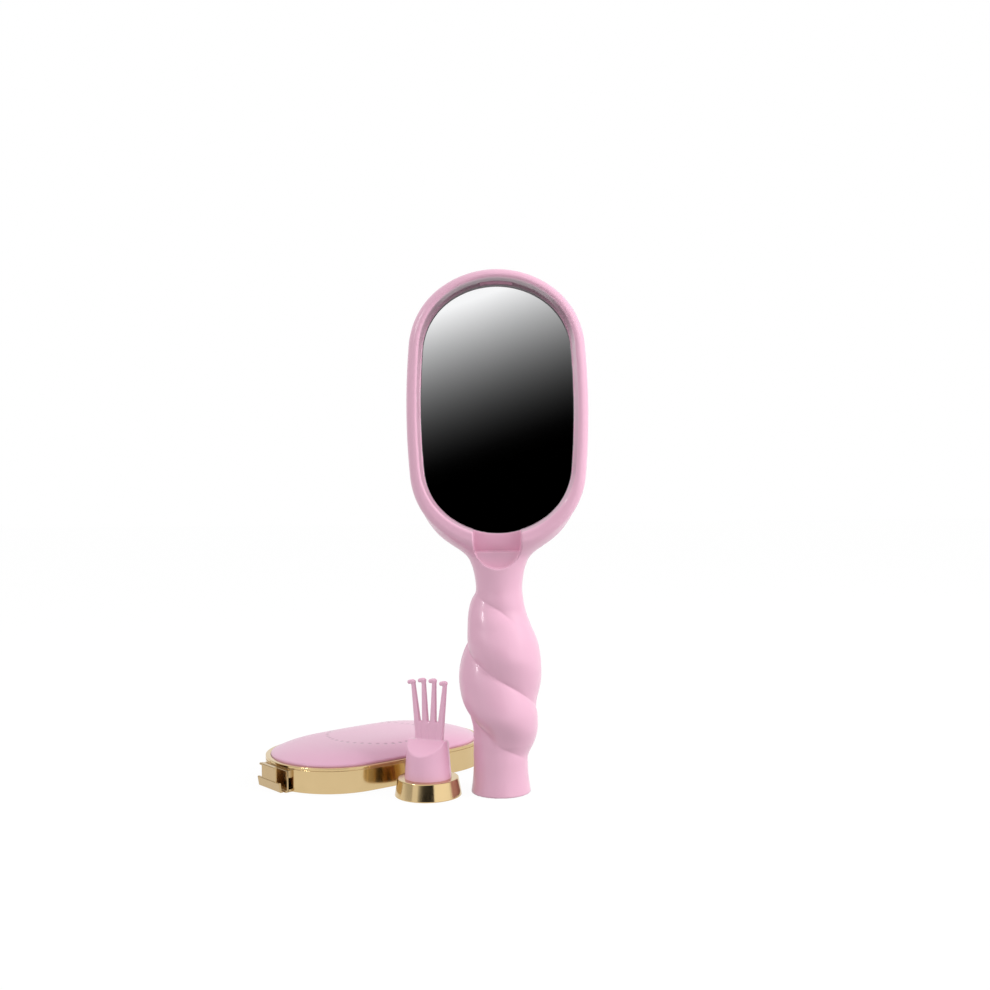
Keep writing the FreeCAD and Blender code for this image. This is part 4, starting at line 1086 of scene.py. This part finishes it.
def build_dome():
    """The pink dome, which stands out of the rim with a small round edge."""
    path = cover_oval.points(320)
    edge = path[:, :2] - path[:, 2:] * (RIM_LIP + DOME_GAP)
    rings = []
    for share, height in DOME_EDGE_HEIGHTS:
        rings.append(np.column_stack((edge[:, ::-1] * share, np.full(len(edge), RIM_HEIGHT + height))))
    for share in np.linspace(*DOME_RING_SHARES, DOME_RINGS):
        height = RIM_HEIGHT + DOME_SHOULDER + (DOME_RISE - DOME_SHOULDER) * (1 - share ** DOME_POWER)
        rings.append(np.column_stack((edge[:, ::-1] * share, np.full(len(edge), height))))
    shape = capped_rings(rings, (0, 0, RIM_HEIGHT + DOME_RISE), (0, 0, RIM_HEIGHT - DOME_BASE))
    settle(add_mesh("domed_plate", shape, cover_place), "cover", "pink_plastic", PINK_DOME_SHADED, "cover_plate")


def build_clip():
    """The spring strip's fixed leg with two pads, and its outer leg with a step, panel and finger flange."""
    bend, tight, sheet = CLIP_BEND, CLIP_TIGHT_BEND, CLIP_SHEET
    leg = rounded_outline((
        (0, 0, tight), (CLIP_LEG_REACH, 0, tight), (CLIP_LEG_REACH, sheet, tight), (sheet, sheet, bend),
        (sheet, CLIP_LEG_HEIGHT, bend), (0, CLIP_LEG_HEIGHT, bend)))
    pieces = [prism(leg, -CLIP_LEG_HALF_WIDTH, CLIP_LEG_HALF_WIDTH)]
    for low, high in ((0, CLIP_FOOT_PAD_HEIGHT), (CLIP_LEG_HEIGHT - CLIP_HEAD_PAD_HEIGHT, CLIP_LEG_HEIGHT)):
        pad = rounded_outline(((bend, low, tight), (bend, high, tight), (-CLIP_PAD_REACH, high, tight),
                               (-CLIP_PAD_REACH, low, tight)))
        pieces.append(prism(pad, -CLIP_LEG_HALF_WIDTH, CLIP_LEG_HALF_WIDTH))
    fixed = add_mesh("clip_leg", joined(*pieces), cover_place)
    soften(fixed, CLIP_EDGE)
    settle(fixed, "cover", "gold_spring", GOLD_SPRING_SHADED, "clip_bracket")

    inner = CLIP_PANEL_REACH - sheet
    under = CLIP_TOP - CLIP_FLANGE_THICKNESS
    step = rounded_outline((
        (CLIP_TAB_REACH, 0, tight), (CLIP_FOOT_REACH, 0, bend), (CLIP_STEP_REACH, CLIP_STEP_HEIGHT, bend),
        (inner, CLIP_STEP_HEIGHT, tight), (CLIP_FOOT_REACH - sheet, sheet, bend),
        (CLIP_TAB_REACH, sheet, tight)))
    panel = rounded_outline((
        (inner, CLIP_STEP_HEIGHT - sheet, tight), (CLIP_PANEL_REACH, CLIP_STEP_HEIGHT - sheet, tight),
        (CLIP_PANEL_REACH, under, tight), (CLIP_FLANGE_REACH, under, tight),
        (CLIP_FLANGE_REACH, CLIP_TOP, bend), (inner, CLIP_TOP, bend)))
    shape = joined(prism(step, -CLIP_HALF_WIDTH, CLIP_HALF_WIDTH),
                   prism(panel, -CLIP_PANEL_HALF_WIDTH, CLIP_PANEL_HALF_WIDTH))
    sprung = add_mesh("clip_tab", shape, cover_place)
    soften(sprung, CLIP_EDGE)
    settle(sprung, "latch", "gold_spring", GOLD_SPRING_SHADED, "latch_tab")


def build_rake():
    outline = rounded_outline((
        (RAKE_SEAT_RADIUS, 0, RAKE_SEAT_ROUND), (RAKE_FOOT_LOW_RADIUS, 0, RAKE_FOOT_LOW_ROUND),
        (RAKE_FOOT_TOP_RADIUS, RAKE_FOOT_HEIGHT, RAKE_FOOT_TOP_ROUND),
        (RAKE_HOLE_RADIUS, RAKE_FOOT_HEIGHT, RAKE_SEAT_ROUND),
        (RAKE_HOLE_RADIUS, RAKE_SEAT_TOP, RAKE_SEAT_ROUND),
        (RAKE_SEAT_RADIUS, RAKE_SEAT_TOP, RAKE_SEAT_ROUND)))
    settle(add_mesh("gold_foot", lathed(outline), rake_place), "rake", "gold_trim", GOLD, "rake_foot")
    reach = PLUG_RADIUS + 2 * RAKE_STEP
    shape = surface_net(comb_field, (-reach, -reach, RAKE_FOOT_HEIGHT - PLUG_SINK - 2 * RAKE_STEP),
                        (reach, reach, RAKE_TOP + 2 * RAKE_STEP), RAKE_STEP)
    settle(add_mesh("hooked_comb", shape, rake_place), "rake", "pink_plastic", PINK_RAKE_LIT, "rake_comb")


def dress_plain_nodes():
    """The solids that stay as they are get their finishes."""
    inner = plain_moulding("inner_moulding", (0.78, 0.70, 0.71, 1), (0.72, 0.64, 0.65, 1))
    foam = plain_moulding("foam", (0.80, 0.80, 0.77, 1), (0.72, 0.72, 0.70, 1))
    finishes = {
        "mirror_glass": silvered_glass(), "socket_sleeve": inner, "carrier_plate": inner, "mirror_tape": foam,
        "cover_tray": PINK, "rake_screw": zinc_plate(),
    }
    for name, material in finishes.items():
        nodes[name].data.materials.clear()
        nodes[name].data.materials.append(material)


def build_camera():
    """At the photograph's angle: level with the lower half of the mirror, a hair to the left, and tipped."""
    pitch, roll = CAMERA_PITCH, CAMERA_ROLL
    forward = Vector((0, math.cos(pitch), math.sin(pitch)))
    level_up = Vector((0, -math.sin(pitch), math.cos(pitch)))
    right = Vector((1, 0, 0)) * math.cos(roll) - level_up * math.sin(roll)
    up = Vector((1, 0, 0)) * math.sin(roll) + level_up * math.cos(roll)
    camera = bpy.data.objects.new("camera", bpy.data.cameras.new("camera"))
    camera.data.lens = CAMERA_LENS
    camera.data.sensor_width = CAMERA_SENSOR
    camera.data.clip_start = CAMERA_CLIP_START
    turn = Matrix((right, up, -forward)).transposed().to_4x4()
    camera.matrix_world = Matrix.Translation(CAMERA_AT) @ turn
    bpy.context.scene.collection.objects.link(camera)
    bpy.context.scene.camera = camera


def add_lamp(name, place, target, size, watts):
    lamp = bpy.data.lights.new(name, "AREA")
    lamp.shape = "RECTANGLE"
    lamp.size, lamp.size_y = size
    lamp.energy = watts
    piece = bpy.data.objects.new(name, lamp)
    piece.location = place
    piece.rotation_euler = (Vector(target) - Vector(place)).to_track_quat("-Z", "Y").to_euler()
    bpy.context.scene.collection.objects.link(piece)
    return piece


def seen_directly(finish):
    """1 for what the camera sees, straight or in polished metal and glass; 0 for the light on the object."""
    camera = finish.node("ShaderNodeLightPath", output="Is Camera Ray")
    glossy = finish.node("ShaderNodeLightPath", output="Is Glossy Ray")
    through = finish.node("ShaderNodeLightPath", output="Is Transmission Ray")
    return finish.maths("MINIMUM", camera + glossy + through, 1.0)


def build_surround():
    world = bpy.data.worlds.new("surround")
    bpy.context.scene.world = world
    sky = Finish(world)
    low, high, white = (
        sky.node("ShaderNodeBackground", None, {"Color": WHITE, "Strength": strength}, "Background")
        for strength in SKY_STRENGTHS)
    rise = sky.range(sky.axis(sky.node("ShaderNodeTexCoord", output="Generated"), "Z"), 0.0, SKY_RISE)
    sky.done(sky.mix(seen_directly(sky), sky.mix(rise, low, high), white), "World")


def panel_mesh(name, corners, finish, shader):
    panel = add_mesh(name, (np.array(corners), [(0, 1, 2, 3)]))
    panel.data.materials.append(finish.done(shader))
    return panel


def glowing(finish, colour, strength=1.0):
    """A black surface that shows a colour of its own."""
    return finish.principled(base_color=BLACK, specular_ior_level=0.0, emission_color=colour,
                             emission_strength=strength)


def upright_panel(name, near, far, height, finish, colour):
    """A standing panel from one floor point to another, which only polished surfaces show."""
    corners = (near + (0,), far + (0,), far + (height,), near + (height,))
    panel = panel_mesh(name, corners, finish, glowing(finish, colour))
    panel.visible_camera = False
    panel.visible_diffuse = False
    panel.visible_shadow = False


def build_floor():
    """A white floor that keeps a faint shadow."""
    finish = new_finish("white_floor")
    drift = finish.noise(6, 2)
    paper = finish.principled(base_color=finish.tint(drift, (0.50, 0.50, 0.50, 1), (0.52, 0.52, 0.52, 1)),
                              roughness=1.0, specular_ior_level=0.0)
    glow = glowing(finish, WHITE, FLOOR_GLOW)
    corners = [(x * FLOOR_REACH, y * FLOOR_REACH, FLOOR_Z) for x, y in ((-1, -1), (1, -1), (1, 1), (-1, 1))]
    panel_mesh("floor", corners, finish, finish.mix(seen_directly(finish) * FLOOR_GLOW_SHARE, paper, glow))


def build_flag():
    """A dark cloth behind the camera that fades to white above, for the mirror and the polished metal."""
    finish = new_finish("flag_cloth")
    place = finish.place()
    level = finish.range(finish.axis(place, "Z") - finish.axis(place, "X") * FLAG_LEAN, *FLAG_FADE)
    fade = finish.tint(level ** FLAG_FADE_POWER, BLACK, WHITE)
    upright_panel("flag", (-FLAG_HALF_WIDTH, FLAG_Y), (FLAG_HALF_WIDTH, FLAG_Y), FLAG_HEIGHT, finish, fade)


def build_side_flag():
    """A grey cloth to the left, for the spring clip and the rake's foot."""
    finish = new_finish("side_cloth")
    grey = finish.tint(finish.noise(30, 2), (0.50, 0.50, 0.50, 1), (0.58, 0.58, 0.58, 1))
    upright_panel("side_flag", (SIDE_FLAG_X, -SIDE_FLAG_HALF_WIDTH), (SIDE_FLAG_X, SIDE_FLAG_HALF_WIDTH),
                  SIDE_FLAG_HEIGHT, finish, grey)


def build_bright_panel():
    """A white panel to the right, which the gold shows."""
    finish = new_finish("bright_panel")
    falloff = finish.range(finish.axis(finish.place(), "Z"), 0.0, BRIGHT_PANEL_HEIGHT)
    white = finish.tint(falloff, (1.35, 1.35, 1.35, 1), (1.1, 1.1, 1.1, 1))
    upright_panel("bright_panel", BRIGHT_PANEL_NEAR, BRIGHT_PANEL_FAR, BRIGHT_PANEL_HEIGHT, finish, white)


def build_lamps():
    key = add_lamp("key", KEY_AT, KEY_TARGET, KEY_SIZE, KEY_WATTS)
    key.visible_glossy = False
    add_lamp("fill", FILL_AT, FILL_TARGET, FILL_SIZE, FILL_WATTS)


build_shells()
tuft_places = bristle_places(0.0)
pin_places = bristle_places(0.5)
build_pad(np.concatenate((tuft_places, pin_places)))
build_tufts(tuft_places)
build_pins(pin_places)
build_rim()
build_dome()
build_clip()
build_rake()
dress_plain_nodes()
build_surround()
build_floor()
build_flag()
build_side_flag()
build_bright_panel()
build_lamps()
build_camera()
bpy.context.scene.view_settings.view_transform = "Standard"
